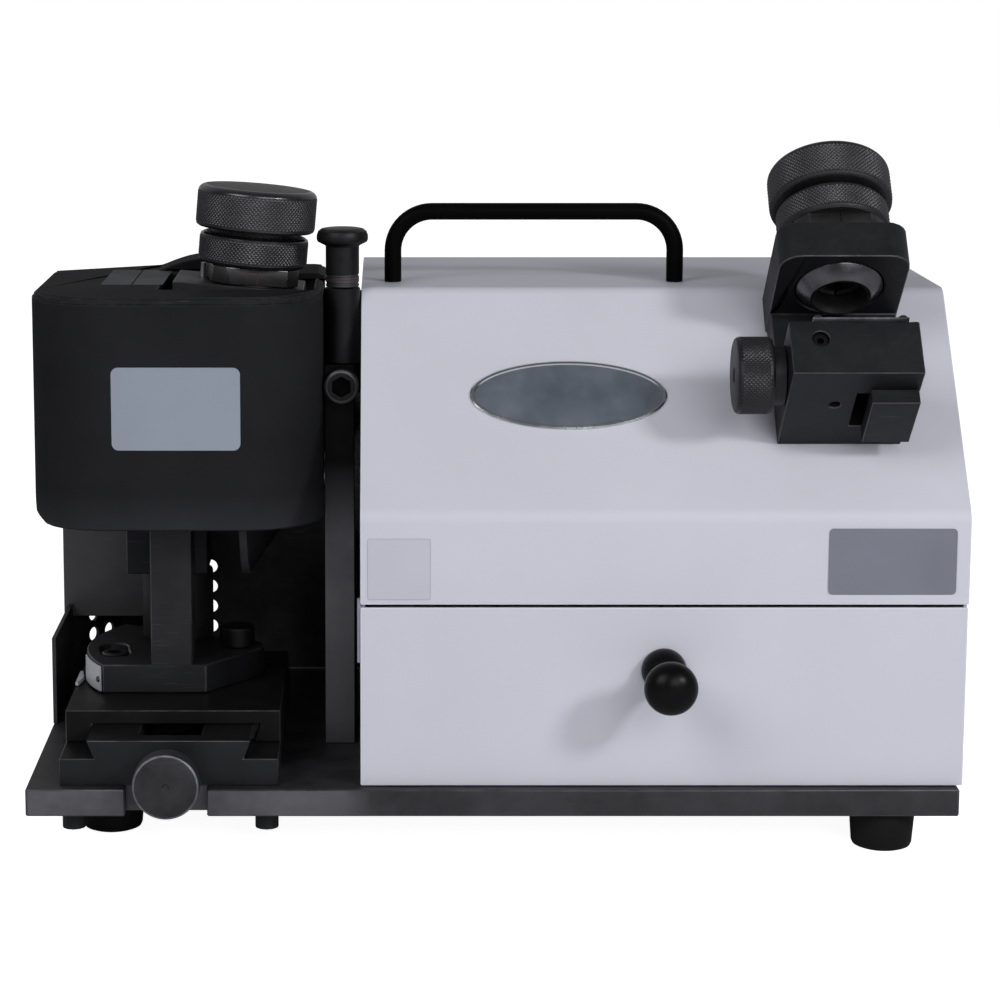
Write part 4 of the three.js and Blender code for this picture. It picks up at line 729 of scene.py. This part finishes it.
def arc(r, z, radius, start, end, steps):
    """Points of a rounded edge in the profile, from one angle to another in degrees."""
    turns = [math.radians(start + (end - start) * i / steps) for i in range(steps + 1)]
    return [(r + radius * math.cos(t), z + radius * math.sin(t)) for t in turns]


# %% [markdown]
# ## Diamond knurling
# A knurling wheel presses two sets of slanting grooves that cross, and leaves rows of small
# four sided points. On a grid of small squares round the rim, every second vertex is lifted,
# as on a chessboard, and each square is cut along its low diagonal. That gives the real
# pattern with few faces. The height is kept as an attribute, because the points are rubbed
# bright.

# %% Raise the knurl
RIM_SLACK, ROW_SLACK, CREST_SLACK = 0.05, 0.01, 0.2


def raise_knurl(piece, low, high, rows, sides, depth):
    only(piece)
    bpy.ops.object.mode_set(mode="EDIT")
    bpy.ops.mesh.select_all(action="DESELECT")
    bm = bmesh.from_edit_mesh(piece.data)
    step = (high - low) / rows
    radius = max(math.hypot(v.co.x, v.co.y) for v in bm.verts if low < v.co.z / MM < high)
    for vertex in bm.verts:
        z = vertex.co.z / MM
        on_rim = math.hypot(vertex.co.x, vertex.co.y) > radius - RIM_SLACK * MM
        if low - ROW_SLACK < z < high + ROW_SLACK and on_rim:
            around = round(math.atan2(vertex.co.y, vertex.co.x) / (2 * math.pi / sides))
            along = round((z - low) / step)
            inner = 0 < along < rows
            vertex.select_set(inner and (around + along) % 2 == 1)
    bm.select_flush_mode()
    bmesh.update_edit_mesh(piece.data)
    grow = 1 + depth * MM / radius
    bpy.ops.transform.resize(value=(grow, grow, 1), center_override=(0, 0, 0))
    bm = bmesh.from_edit_mesh(piece.data)
    for face in bm.faces:
        middle = face.calc_center_median()
        outside = math.hypot(middle.x, middle.y) > radius - CREST_SLACK * MM
        face.select_set(low < middle.z / MM < high and outside)
    bmesh.update_edit_mesh(piece.data)
    bpy.ops.mesh.quads_convert_to_tris(quad_method="SHORTEST_DIAGONAL")
    bpy.ops.object.mode_set(mode="OBJECT")
    crest = piece.data.attributes.new("crest", "FLOAT", "POINT")
    lift = [(math.hypot(v.co.x, v.co.y) - radius) / (depth * MM) for v in piece.data.vertices]
    in_band = [low < v.co.z / MM < high for v in piece.data.vertices]
    crest.data.foreach_set("value", [max(0, h) if b else 0.0 for h, b in zip(lift, in_band)])


def knurled(before, radius, low, high, after, rows, sides, depth, downward=False):
    """Turns a profile whose rim, from low to high, is divided into rows and then knurled."""
    start, end = (high, low) if downward else (low, high)
    rim = [(radius, start + (end - start) * i / rows) for i in range(rows + 1)]
    piece = turned(before + rim + after, sides)
    raise_knurl(piece, low, high, rows, sides, depth)
    return piece


# %% [markdown]
# ## The two chucks
# Each chuck is a body with a square collar, a knurled ring and a thin neck, and a knurled cap
# that closes the collet. The collar is a disc whose four sides were milled flat: a cylinder is
# cut four times with Bisect, which keeps the turned corners. Both chucks are the same part,
# so they are modelled upright once and then copied into the leaning holder and the fixture.

# %% Chuck places
SLOPE = math.atan2(200.6 - 125.8, 69.1 - 4.3)
HOLDER_LEAN, LEFT_TURN = math.radians(5), math.radians(10.8)
fixture = at(170, -74.9, 125.8) @ Matrix.Rotation(SLOPE, 4, "X")
left_place = (at(-90.5, 3.8, 201.2) @ Matrix.Rotation(HOLDER_LEAN, 4, "Y") @ at(0, 0, 0.5)
              @ Matrix.Rotation(LEFT_TURN, 4, "Z"))
right_place = (fixture @ at(-43.2, 93.5, 30) @ Matrix.Rotation(-math.pi / 2, 4, "X")
               @ at(0, 0, 0.5))
print("right chuck stands at", [round(v / MM, 1) for v in right_place.translation])

# %% Chuck body
KNURL = 0.28
chuck_body = knurled(
    [(10, -20.1), (11.1, -20.1), (11.5, -19.6), (15.6, -15.7), (15.9, -15.0), (16, -14.4),
     (16, 6.3), (18.6, 6.4), (19.6, 6.6), (20.4, 7.3), (20.62, 7.7)],
    20.6, 7.9, 16.6,
    [(20.62, 16.9), (20.4, 17.3), (19.4, 17.95), (18.4, 18.1), (16.5, 18.1), (16.5, 19.6),
     (13.5, 19.6), (13.5, 30.9), (10, 30.9), (10, -20.1)],
    rows=11, sides=166, depth=KNURL)
paint(chuck_body, knurled_steel, nose_steel, shoulder_steel)
shade_faces(chuck_body, 1, band(-FAR, -14.3))
shade_faces(chuck_body, 2, band(16.8, 18.05, 18.3))
smooth(chuck_body)
print("body triangles:", sum(len(p.vertices) - 2 for p in chuck_body.data.polygons))

# %% Square collar
COLLAR_HIGH, HALF_FLAT = 6.4, 16.5
bpy.ops.mesh.primitive_cylinder_add(vertices=96, radius=20 * MM, depth=COLLAR_HIGH * MM,
                                    location=(0, 0, COLLAR_HIGH / 2 * MM))
collar = bpy.context.object
bpy.ops.object.transform_apply(location=True, rotation=True, scale=True)
bpy.ops.object.mode_set(mode="EDIT")
for turn in range(4):
    out = Vector((math.cos(turn * math.pi / 2), math.sin(turn * math.pi / 2), 0))
    bpy.ops.mesh.select_all(action="SELECT")
    bpy.ops.mesh.bisect(plane_co=out * HALF_FLAT * MM, plane_no=out, use_fill=True,
                        clear_outer=True)
bpy.ops.object.mode_set(mode="OBJECT")
paint(collar, collar_steel, nose_steel)
use(collar, "BEVEL", width=0.35 * MM, segments=2, limit_method="ANGLE",
    angle_limit=math.radians(30), material=1)
smooth(collar, 32)
print("collar faces:", len(collar.data.polygons))

# %% Index line, one on the front flat of the collar
bpy.ops.mesh.primitive_cube_add(size=MM, location=(0, -HALF_FLAT * MM, COLLAR_HIGH / 2 * MM))
index_line = bpy.context.object
index_line.scale = (0.34, 0.06, 5.9)
bpy.ops.object.transform_apply(location=True, rotation=True, scale=True)
paint(index_line, engraved_and_pocket_shade)
print("index line:", [round(side / MM, 2) for side in index_line.dimensions])

# %% Knurled cap
cap = knurled(
    [(0, 35.9), (19.8, 35.9), (20.7, 35.75), (21.4, 35.4), (22.0, 34.9), (22.4, 34.35),
     (22.6, 33.9)],
    22.58, 21.2, 33.6,
    [(22.6, 20.9), (22.35, 20.5), (21.6, 20.0), (20.9, 19.9), (13.9, 19.9), (13.9, 33.4),
     (0, 33.4)],
    rows=16, sides=186, depth=KNURL, downward=True)
paint(cap, knurled_steel, shoulder_steel)
shade_faces(cap, 1, band(33.7, FAR, 19.9))
smooth(cap)
print("cap triangles:", sum(len(p.vertices) - 2 for p in cap.data.polygons))


# %% Copies in both places
def copy_of(piece):
    only(piece)
    bpy.ops.object.duplicate()
    return bpy.context.object


for side, place, mark in (("left", left_place, line_red), ("right", right_place, engraved_and_pocket_shade)):
    body, square, line, top = (copy_of(p) for p in (chuck_body, collar, index_line, cap))
    paint(line, mark)
    for piece in (body, square, line, top):
        settle(piece, place)
    node = side + "_chuck_body"
    finished(body, side + "_chuck_turning", node, node)
    finished(square, side + "_chuck_collar", node)
    finished(line, side + "_chuck_line", node)
    finished(top, side + "_chuck_cap", side + "_cap_nut", side + "_cap_nut")
for spare in (chuck_body, collar, index_line, cap):
    bpy.data.objects.remove(spare)

# %% [markdown]
# ## Feed knob, gauge knob and pull pin
# The feed knob at the very front and the gauge knob on the fixture have knurled rims too. The
# pull pin is a mushroom head on a sleeve with two pairs of fine rings, the sleeve's lower part
# left bright with one red line, over a plain body.

# %% Feed knob
feed_knob = knurled(
    [(0, 8.1), (0.9, 8.1), (1.3, 8.5), (11.3, 8.5), (11.8, 8.3), (12.05, 7.9)],
    12.05, 0.8, 7.7,
    [(12.05, 0.6), (11.7, 0.2), (11.3, 0), (0, 0)],
    rows=8, sides=100, depth=0.25, downward=True)
paint(feed_knob, knurled_steel, knob_face, strip_metal)
shade_faces(feed_knob, 1, band(8.0, FAR))
shade_faces(feed_knob, 2, band(7.9, FAR, 11.4))
fitted(feed_knob, at(-118, -81.7, 29.2) @ TO_FRONT, "feed_knob_turning", "feed_knob",
       "feed_knob")

# %% Gauge knob
gauge_knob = knurled(
    [(0, 0.5), (2.6, 0.5), (3.0, 0), (12.4, 0), (13.2, 0.3), (13.72, 1.0)],
    13.72, 1.2, 12.1,
    [(13.72, 12.3), (13.2, 13.0), (12.4, 13.3), (10.8, 13.3), (10.8, 17.4), (0, 17.4)],
    rows=14, sides=116, depth=0.26)
paint(gauge_knob, dark_knurl)
fitted(gauge_knob, fixture @ at(-84, 41.2, 29) @ TO_SIDE, "gauge_knob_turning", "gauge_knob",
       "gauge_knob")

# %% Pull pin
pin_axis = at(-55.1, -12.4, 0)
pin_head = turned(
    [(0, 223.5), (6.4, 223.5), (7.9, 223.2), (9.1, 222.3), (9.6, 221.0), (9.7, 219.8),
     (9.6, 218.9), (9.2, 218.3), (6.6, 217.0), (6.3, 216.6), (6.3, 206.2), (6.0, 206.0),
     (6.0, 205.5), (6.3, 205.3), (6.3, 204.5), (6.3, 204.0), (6.3, 203.2), (6.0, 203.0),
     (6.0, 202.5), (6.3, 202.3), (6.3, 201.7), (6.0, 201.4), (3, 201.4), (3, 169.4),
     (0, 169.4)], 64)
paint(pin_head, pin_black, turned_steel, line_red)
shade_faces(pin_head, 1, band(201.5, 206.1))
shade_faces(pin_head, 2, band(204.1, 204.4))
fitted(pin_head, pin_axis, "pull_pin_turning", "plunger_knob", "plunger_knob")
barrel = turned(
    [(3.3, 172.7), (6.4, 172.7), (6.7, 173.0), (6.7, 200.6), (6.4, 201.0), (3.3, 201.0),
     (3.3, 172.7)], 64)
paint(barrel, pin_black)
fitted(barrel, pin_axis, "pull_pin_barrel", "plunger_body", "plunger_body")

# %% [markdown]
# ## Screws, pivot, feet and the drawer's knob
# A socket head screw is a turned head with a six sided pocket. The hexagon comes from a six
# sided cylinder that a Boolean takes away, as the forging die does it. The pivot, the rubber
# feet and the drawer's mushroom knob are plain turned shapes.


# %% Socket head screws
def cut_away(piece, tool):
    use(piece, "BOOLEAN", operation="DIFFERENCE", object=tool, solver="EXACT")
    bpy.data.objects.remove(tool)


def socket_screw(name, node, place, radius, high, socket, deep, shank, length, material):
    edge = 0.09 * radius
    piece = turned(
        [(0, high), (radius - 2 * edge, high), (radius - edge, high - 0.2 * edge),
         (radius, high - edge), (radius, 0.3), (radius - 0.3, 0), (shank, 0), (shank, -length),
         (0, -length)], 48)
    bpy.ops.mesh.primitive_cylinder_add(vertices=6, radius=socket * MM, depth=2 * deep * MM,
                                        location=(0, 0, high * MM))
    cut_away(piece, bpy.context.object)
    paint(piece, material, turned_steel, engraved_and_pocket_shade)
    below_face = high - 0.01
    shade_faces(piece, 1, band(high - edge, below_face, radius - 2 * edge))
    # The pocket's walls and floor get the near black finish: painted shade inside the socket.
    shade_faces(piece, 2, lambda face: 0 < face.center.z < below_face * MM
                and math.hypot(face.center.x, face.center.y) < (socket + 0.02) * MM)
    fitted(piece, place, name, node, node)


PIVOT_X, PIVOT_Y = -96.7, 2.8
CLAMP_RADIUS, CLAMP_TURN = 48, math.radians(189)
socket_screw("column_cap_screw", "column_screw", at(-55.4, -19.5, 165.2) @ TO_FRONT,
             6.45, 8, 4.0, 4.8, 2.5, 14.2, oiled_black_and_shade)
socket_screw("lever_cap_screw", "lever_clamp_screw",
             at(PIVOT_X + CLAMP_RADIUS * math.cos(CLAMP_TURN),
                PIVOT_Y + CLAMP_RADIUS * math.sin(CLAMP_TURN), 51.8),
             5, 6, 2.9, 3.4, 3, 7.6, pin_black)

# %% Pivot pin
pivot = turned([(0, 66.2), (5.6, 66.2), (6.4, 65.9), (6.8, 65.2), (6.8, 58.8), (6.5, 58.5),
                (5, 58.5), (5, 42.2), (0, 42.2)], 64)
paint(pivot, pin_black)
fitted(pivot, at(PIVOT_X, PIVOT_Y, 0.4), "pivot_pin_turning", "pivot_pin", "pivot_pin")

# %% Feet
FOOT_PROFILE = [(0, 0.8), (5, 0.8), (5.6, 0.1), (9.4, 0), (10.6, 0.5), (11.1, 1.6), (12, 12.8),
                (11.9, 14.3), (11.3, 15), (0, 15)]
for name in ("foot_front_left", "foot_front_right", "foot_rear_left", "foot_rear_right"):
    low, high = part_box(name)
    foot = turned(FOOT_PROFILE, 56)
    paint(foot, rubber)
    fitted(foot, Matrix.Translation(((low.x + high.x) / 2, (low.y + high.y) / 2, 0)),
           name + "_moulding", name, name)

# %% Drawer knob
BALL_RADIUS, BALL_Z, DOME = 9.6, 26.3, 0.74
ball = [(r, z if z < BALL_Z else BALL_Z + DOME * (z - BALL_Z))
        for r, z in arc(0, BALL_Z, BALL_RADIUS, 90, -58.6, 22)]
knob = turned(
    ball + [(5.0, 16.4), (4.6, 12.0), (4.7, 9.0), (5.2, 7.6), (6.2, 6.6), (7.3, 5.2),
            (7.9, 3.6), (8.2, 2.0), (8.2, 0.4), (7.9, 0), (0, 0)], 64)
paint(knob, black_plastic)
fitted(knob, at(62, -75.2, 68.8) @ TO_FRONT, "drawer_knob_turning", "drawer_knob",
       "drawer_knob", degrees=40)

# %% [markdown]
# ## The carry handle
# The handle is one steel rod, bent twice. Its round section is a circle at the left leg. It is
# extruded up, swung a quarter turn with Spin, extruded along, swung again and extruded down.

# %% Handle
LEFT_LEG, RIGHT_LEG, LEG_Y, LEG_Z, BAR_Z = -36.0, 72.4, 9.8, 200.9, 227.7
ROD_RADIUS, BEND = 3.25, 15
nothing_selected()
bpy.ops.mesh.primitive_circle_add(vertices=28, radius=ROD_RADIUS * MM,
                                  location=(LEFT_LEG * MM, LEG_Y * MM, LEG_Z * MM))
handle = bpy.context.object
bpy.ops.object.transform_apply(location=True, rotation=True, scale=True)
bpy.ops.object.mode_set(mode="EDIT")


def draw_out(x, z):
    bpy.ops.mesh.extrude_region_move(TRANSFORM_OT_translate={"value": (x * MM, 0, z * MM)})


def swing(x, z):
    bpy.ops.mesh.spin(steps=14, angle=-math.pi / 2, center=(x * MM, LEG_Y * MM, z * MM),
                      axis=(0, 1, 0))


draw_out(0, BAR_Z - BEND - LEG_Z)
swing(LEFT_LEG + BEND, BAR_Z - BEND)
draw_out(RIGHT_LEG - LEFT_LEG - 2 * BEND, 0)
swing(RIGHT_LEG - BEND, BAR_Z - BEND)
draw_out(0, LEG_Z - BAR_Z + BEND)
bpy.ops.mesh.select_all(action="SELECT")
bpy.ops.mesh.remove_doubles(threshold=WELD)
bpy.ops.mesh.select_all(action="DESELECT")
bpy.ops.mesh.select_non_manifold()
bpy.ops.mesh.edge_face_add()
bpy.ops.mesh.select_all(action="SELECT")
bpy.ops.mesh.normals_make_consistent(inside=False)
bpy.ops.object.mode_set(mode="OBJECT")
paint(handle, gloss_black)
smooth(handle, 40)
finished(handle, "handle_rod", "carry_handle", "carry_handle")

# %% [markdown]
# ## The perforated splash screen
# The bent sheet behind the slide runs from a low wing at the left, slants round the corner and
# closes the back as far as the housing. It is one line on the plate, extruded up and given its
# thickness with Solidify. A Boolean then takes away what stands too high, and the punched holes.


# %% Cutting tool
def cut_box(piece, corner, opposite):
    bpy.ops.mesh.primitive_cube_add(size=1)
    tool = bpy.context.object
    tool.location = [(a + b) / 2 * MM for a, b in zip(corner, opposite)]
    tool.scale = [abs(b - a) * MM for a, b in zip(corner, opposite)]
    cut_away(piece, tool)


# %% Screen
SCREEN_PLAN = [(-169.25, 8.6), (-169.25, 71.57), (-151.61, 96.55), (-48.5, 96.55)]
SCREEN_LOW, SCREEN_TOP, TAB_TOP, WING_TOP, TAB_LEFT = 25.3, 150.0, 187.0, 59.7, -70.0
NOTCH_Z, SHEET = 54.1, 1.5
screen = first_point(*SCREEN_PLAN[0], SCREEN_LOW)
for (x0, y0), (x1, y1) in zip(SCREEN_PLAN, SCREEN_PLAN[1:]):
    along = ((x1 - x0) * MM, (y1 - y0) * MM, 0)
    bpy.ops.mesh.extrude_vertices_move(TRANSFORM_OT_translate={"value": along})
bpy.ops.mesh.select_all(action="SELECT")
bpy.ops.mesh.extrude_region_move(
    TRANSFORM_OT_translate={"value": (0, 0, (TAB_TOP - SCREEN_LOW) * MM)})
bpy.ops.object.mode_set(mode="OBJECT")
use(screen, "SOLIDIFY", thickness=SHEET * MM, offset=0, use_even_offset=True)
cut_box(screen, (-180, 0, WING_TOP), (-160, 71.8, TAB_TOP + 5))
cut_box(screen, (-180, 71.0, SCREEN_TOP), (TAB_LEFT, 110, TAB_TOP + 5))
cut_box(screen, (-172, 67.8, NOTCH_Z), (-118, 69.9, WING_TOP + 5))
print("screen faces before the holes:", len(screen.data.polygons))

# %% Punched holes: four in the back, three in the slanted part
SLANT_TURN = math.atan2(25.5, 18)
HOLE_LOW, HOLE_PITCH, HOLE_RADIUS = 43.5, 8.6, 2.95
hole_places = [(-113.0, 96.55, 0.0, row) for row in range(4)]
hole_places += [(-161.8, 82.1, SLANT_TURN, row) for row in range(2)]
hole_places += [(-155.9, 90.0, SLANT_TURN, 0)]
for x, y, turn, row in hole_places:
    bpy.ops.mesh.primitive_cylinder_add(
        vertices=28, radius=HOLE_RADIUS * MM, depth=8 * MM,
        location=(x * MM, y * MM, (HOLE_LOW + row * HOLE_PITCH) * MM),
        rotation=(math.pi / 2, 0, turn))
    cut_away(screen, bpy.context.object)
paint(screen, ground_plate)
smooth(screen, 30)
finished(screen, "screen_sheet", "splash_screen", "splash_screen")

# %% [markdown]
# ## The grinding wheel and the cable gland
# The wheel is a dish: a thin steel cup with a narrow band of diamond grit on its rim, so it is
# turned in two pieces, the cup and the band. The gland on the rear wall is a plastic fitting
# that clamps the cable, a turned body with a wider ring.

# %% Wheel
wheel_axis = at(-94, 5.8, 127.6) @ TO_SIDE
cup = turned([(7.3, 10.4), (17, 10.4), (32.6, 0.6), (33.4, 0.4), (39.4, 0.4),
              (39.7, 2.6), (22.4, 14.8), (21.6, 15.0), (7.3, 15.0), (7.3, 10.4)], 72)
# The cup takes a dark steel finish instead of bright steel as painted shade, where the wheel sits
# under the guard.
paint(cup, knurled_steel)
fitted(cup, wheel_axis, "wheel_cup", "grinding_wheel", "grinding_wheel")
grit = turned([(34.0, 0.5), (34.2, 0.0), (39.8, 0.0), (40, 0.3), (40, 2.8),
               (39.5, 3.0), (34.0, 1.0), (34.0, 0.5)], 72)
paint(grit, abrasive)
fitted(grit, wheel_axis, "wheel_grit", "grinding_wheel")

# %% Gland
gland = turned([(3.6, 9.0), (6.4, 9.0), (7.4, 8.6), (8.0, 7.6), (8.3, 5.4), (8.3, 4.4),
                (8.5, 4.2), (8.5, 0.4), (8.2, 0), (6, 0), (6, -10.8), (3.6, -10.8), (3.6, 9.0)],
               48)
paint(gland, black_plastic)
fitted(gland, at(98, 101.8, 52) @ Matrix.Rotation(-math.pi / 2, 4, "X"), "gland_fitting",
       "cable_gland", "cable_gland")

# %% [markdown]
# ## Plates and labels, left bare
# The hood carries an oval metal badge, a small square sticker and a grey data plate, and the
# guard has one large label in front and two narrow ones on top. They stay empty here: only the
# blank plate, its rim and its thickness are made. Each starts as a flat shape that is extruded,
# inset and pressed, and is then laid on its surface.

# %% Label finishes
badge_field = finish("etched badge metal", (0.205, 0.235, 0.285), 0.85, 0.40, tone=(60, 0.05),
                     grain=(1, 0.08, 1), fine=2600, bump=0.3, scratch=0.1, dust=0.03)
badge_rim = finish("polished badge rim", (0.62, 0.63, 0.66), 1.0, 0.16, tone=(60, 0.08),
                   bump=0.05, scratch=0.2, dust=0.03)
plate_grey = finish("grey data plate", (0.21, 0.22, 0.265), 0.55, 0.40, tone=(26, 0.06),
                    grain=(0.08, 1, 1), fine=2600, bump=0.2, scratch=0.12, dust=0.03)
sticker_clear = finish("milky sticker", (0.49, 0.495, 0.56), 0.0, 0.30, tone=(18, 0.03),
                       fine=900, bump=0.15, scratch=0.1, dust=0.03)
sticker_edge = finish("sticker edge", (0.36, 0.36, 0.40), 0.0, 0.35, dust=0.05)
label_white = finish("white vinyl label", (0.245, 0.275, 0.335), 0.0, 0.30, tone=(18, 0.04),
                     fine=900, bump=0.15, scratch=0.15, scratch_colour=(0.3, 0.3, 0.3),
                     dust=0.03)
label_grey = finish("grey foil label", (0.030, 0.034, 0.042), 0.1, 0.5, shine=0.12,
                    tone=(40, 0.15), bump=0.15, scratch=0.2, dust=0.1)
print("finishes with the labels:", len(bpy.data.materials))


# %% A plate with rounded corners
def rounded_plate(wide, tall, corner, thick, *materials):
    nothing_selected()
    bpy.ops.mesh.primitive_plane_add(size=1)
    piece = bpy.context.object
    piece.scale = (wide * MM, tall * MM, 1)
    bpy.ops.object.transform_apply(location=True, rotation=True, scale=True)
    paint(piece, *materials)
    bpy.ops.object.mode_set(mode="EDIT")
    bpy.ops.mesh.select_all(action="SELECT")
    bpy.ops.mesh.bevel(offset=corner * MM, segments=8, affect="VERTICES")
    bpy.ops.mesh.select_all(action="SELECT")
    bpy.ops.mesh.extrude_region_move(TRANSFORM_OT_translate={"value": (0, 0, thick * MM)})
    return piece


def inset_top(width, rise=0.0):
    """Insets the face that the last step left selected, and lifts or presses it."""
    bpy.ops.mesh.inset(thickness=width * MM, depth=0)
    if rise:
        bpy.ops.transform.translate(value=(0, 0, rise * MM))


def field_apart(piece):
    """Gives the selected field the second finish, and all that is round it the first."""
    bm = bmesh.from_edit_mesh(piece.data)
    for face in bm.faces:
        face.material_index = 1 if face.select else 0
    bmesh.update_edit_mesh(piece.data)


def lay(piece, place, name, node):
    """Closes the editing of a plate and lays it on its surface."""
    bpy.ops.mesh.select_all(action="SELECT")
    bpy.ops.mesh.normals_make_consistent(inside=False)
    bpy.ops.object.mode_set(mode="OBJECT")
    settle(piece, place)
    return finished(piece, name, node)


# %% Oval badge
BADGE_HALF_WIDE, BADGE_HALF_TALL = 36.35, 14.8
nothing_selected()
bpy.ops.mesh.primitive_circle_add(vertices=96, radius=1, fill_type="NGON")
badge = bpy.context.object
badge.scale = (BADGE_HALF_WIDE * MM, BADGE_HALF_TALL * MM, 1)
bpy.ops.object.transform_apply(location=True, rotation=True, scale=True)
paint(badge, badge_rim, badge_field)
bpy.ops.object.mode_set(mode="EDIT")
bpy.ops.mesh.select_all(action="SELECT")
bpy.ops.mesh.extrude_region_move(TRANSFORM_OT_translate={"value": (0, 0, 0.7 * MM)})
inset_top(0.5, 0.35)
inset_top(0.8)
inset_top(0.35, -0.4)
field_apart(badge)
lay(badge, fixture @ at(-141.35, 50.7, 0), "oval_badge_blank", "upper_cover")
smooth(badge, 30)

# %% Sticker and data plate on the hood
HOOD_FRONT, GUARD_FRONT = -74.9, -51.2
sticker = rounded_plate(22.8, 22.6, 0.8, 0.12, sticker_edge, sticker_clear)
inset_top(0.22, 0.02)
field_apart(sticker)
lay(sticker, at(-34.0, HOOD_FRONT, 106.0) @ TO_FRONT, "square_sticker_blank", "upper_cover")
data_plate = rounded_plate(46.1, 24.2, 1.6, 0.35, plate_grey)
inset_top(0.7)
inset_top(0.25)
lay(data_plate, at(143.85, HOOD_FRONT, 108.9) @ TO_FRONT, "data_plate_blank", "upper_cover")

# %% Guard labels
front_label = rounded_plate(47.2, 30.7, 2.6, 0.15, label_white)
inset_top(0.9)
inset_top(0.28)
lay(front_label, at(-115.6, GUARD_FRONT, 160.65) @ TO_FRONT, "guard_label_blank", "wheel_guard")
for side, x in (("left", -141.0), ("right", -128.9)):
    roof_label = rounded_plate(11.4, 51, 1.0, 0.12, label_grey)
    inset_top(0.5)
    lay(roof_label, at(x, 16.1, 201.5), side + "_roof_label_blank", "wheel_guard")

# %% [markdown]
# ## Small trim
# Three small things finish the picture: the folded flange that shows as a short bar on the
# case's left side, a rivet that holds the scale strip on the lever, and the two dome headed
# screws of the gauge's scale strip. They sit half sunk in the piece that carries them.

# %% The case's side flange
nothing_selected()
bpy.ops.mesh.primitive_cube_add(size=1, location=(-48.4 * MM, -72.5 * MM, 82.9 * MM))
flange = bpy.context.object
flange.scale = (1.4 * MM, 2.4 * MM, 23.8 * MM)
bpy.ops.object.transform_apply(location=True, rotation=True, scale=True)
use(flange, "BEVEL", width=0.3 * MM, segments=2)
# The flange is part of the white case; its grey blue paint is painted shade in the gap beside the
# column.
paint(flange, flange_painted_shade)
finished(flange, "case_side_flange", "lower_case")


# %% Dome heads on the scale strips
def dome_head(name, node, radius, high, place, steps=6):
    turns = [math.radians(90 * step / steps) for step in range(steps + 1)]
    profile = [(radius * math.sin(t), high * math.cos(t)) for t in turns]
    head = turned(profile + [(0, 0)], 32)
    paint(head, nose_steel)
    fitted(head, place, name, node, degrees=40)


STRIP_RADIUS, RIVET_TURN = 59.35, math.radians(209.8)
STRIP_TILT = math.radians(-41)
dome_head("lever_strip_rivet", "lever_scale_strip", 1.25, 0.8,
          at(PIVOT_X + STRIP_RADIUS * math.cos(RIVET_TURN),
             PIVOT_Y + STRIP_RADIUS * math.sin(RIVET_TURN), 52.6)
          @ Matrix.Rotation(RIVET_TURN, 4, "Z") @ TO_SIDE)
for side, x in (("left", 114.4), ("right", 144.6)):
    dome_head(side + "_strip_screw", "gauge_scale_strip", 1.9, 1.5,
              at(x, -76.8, 197.0) @ Matrix.Rotation(STRIP_TILT, 4, "X"))
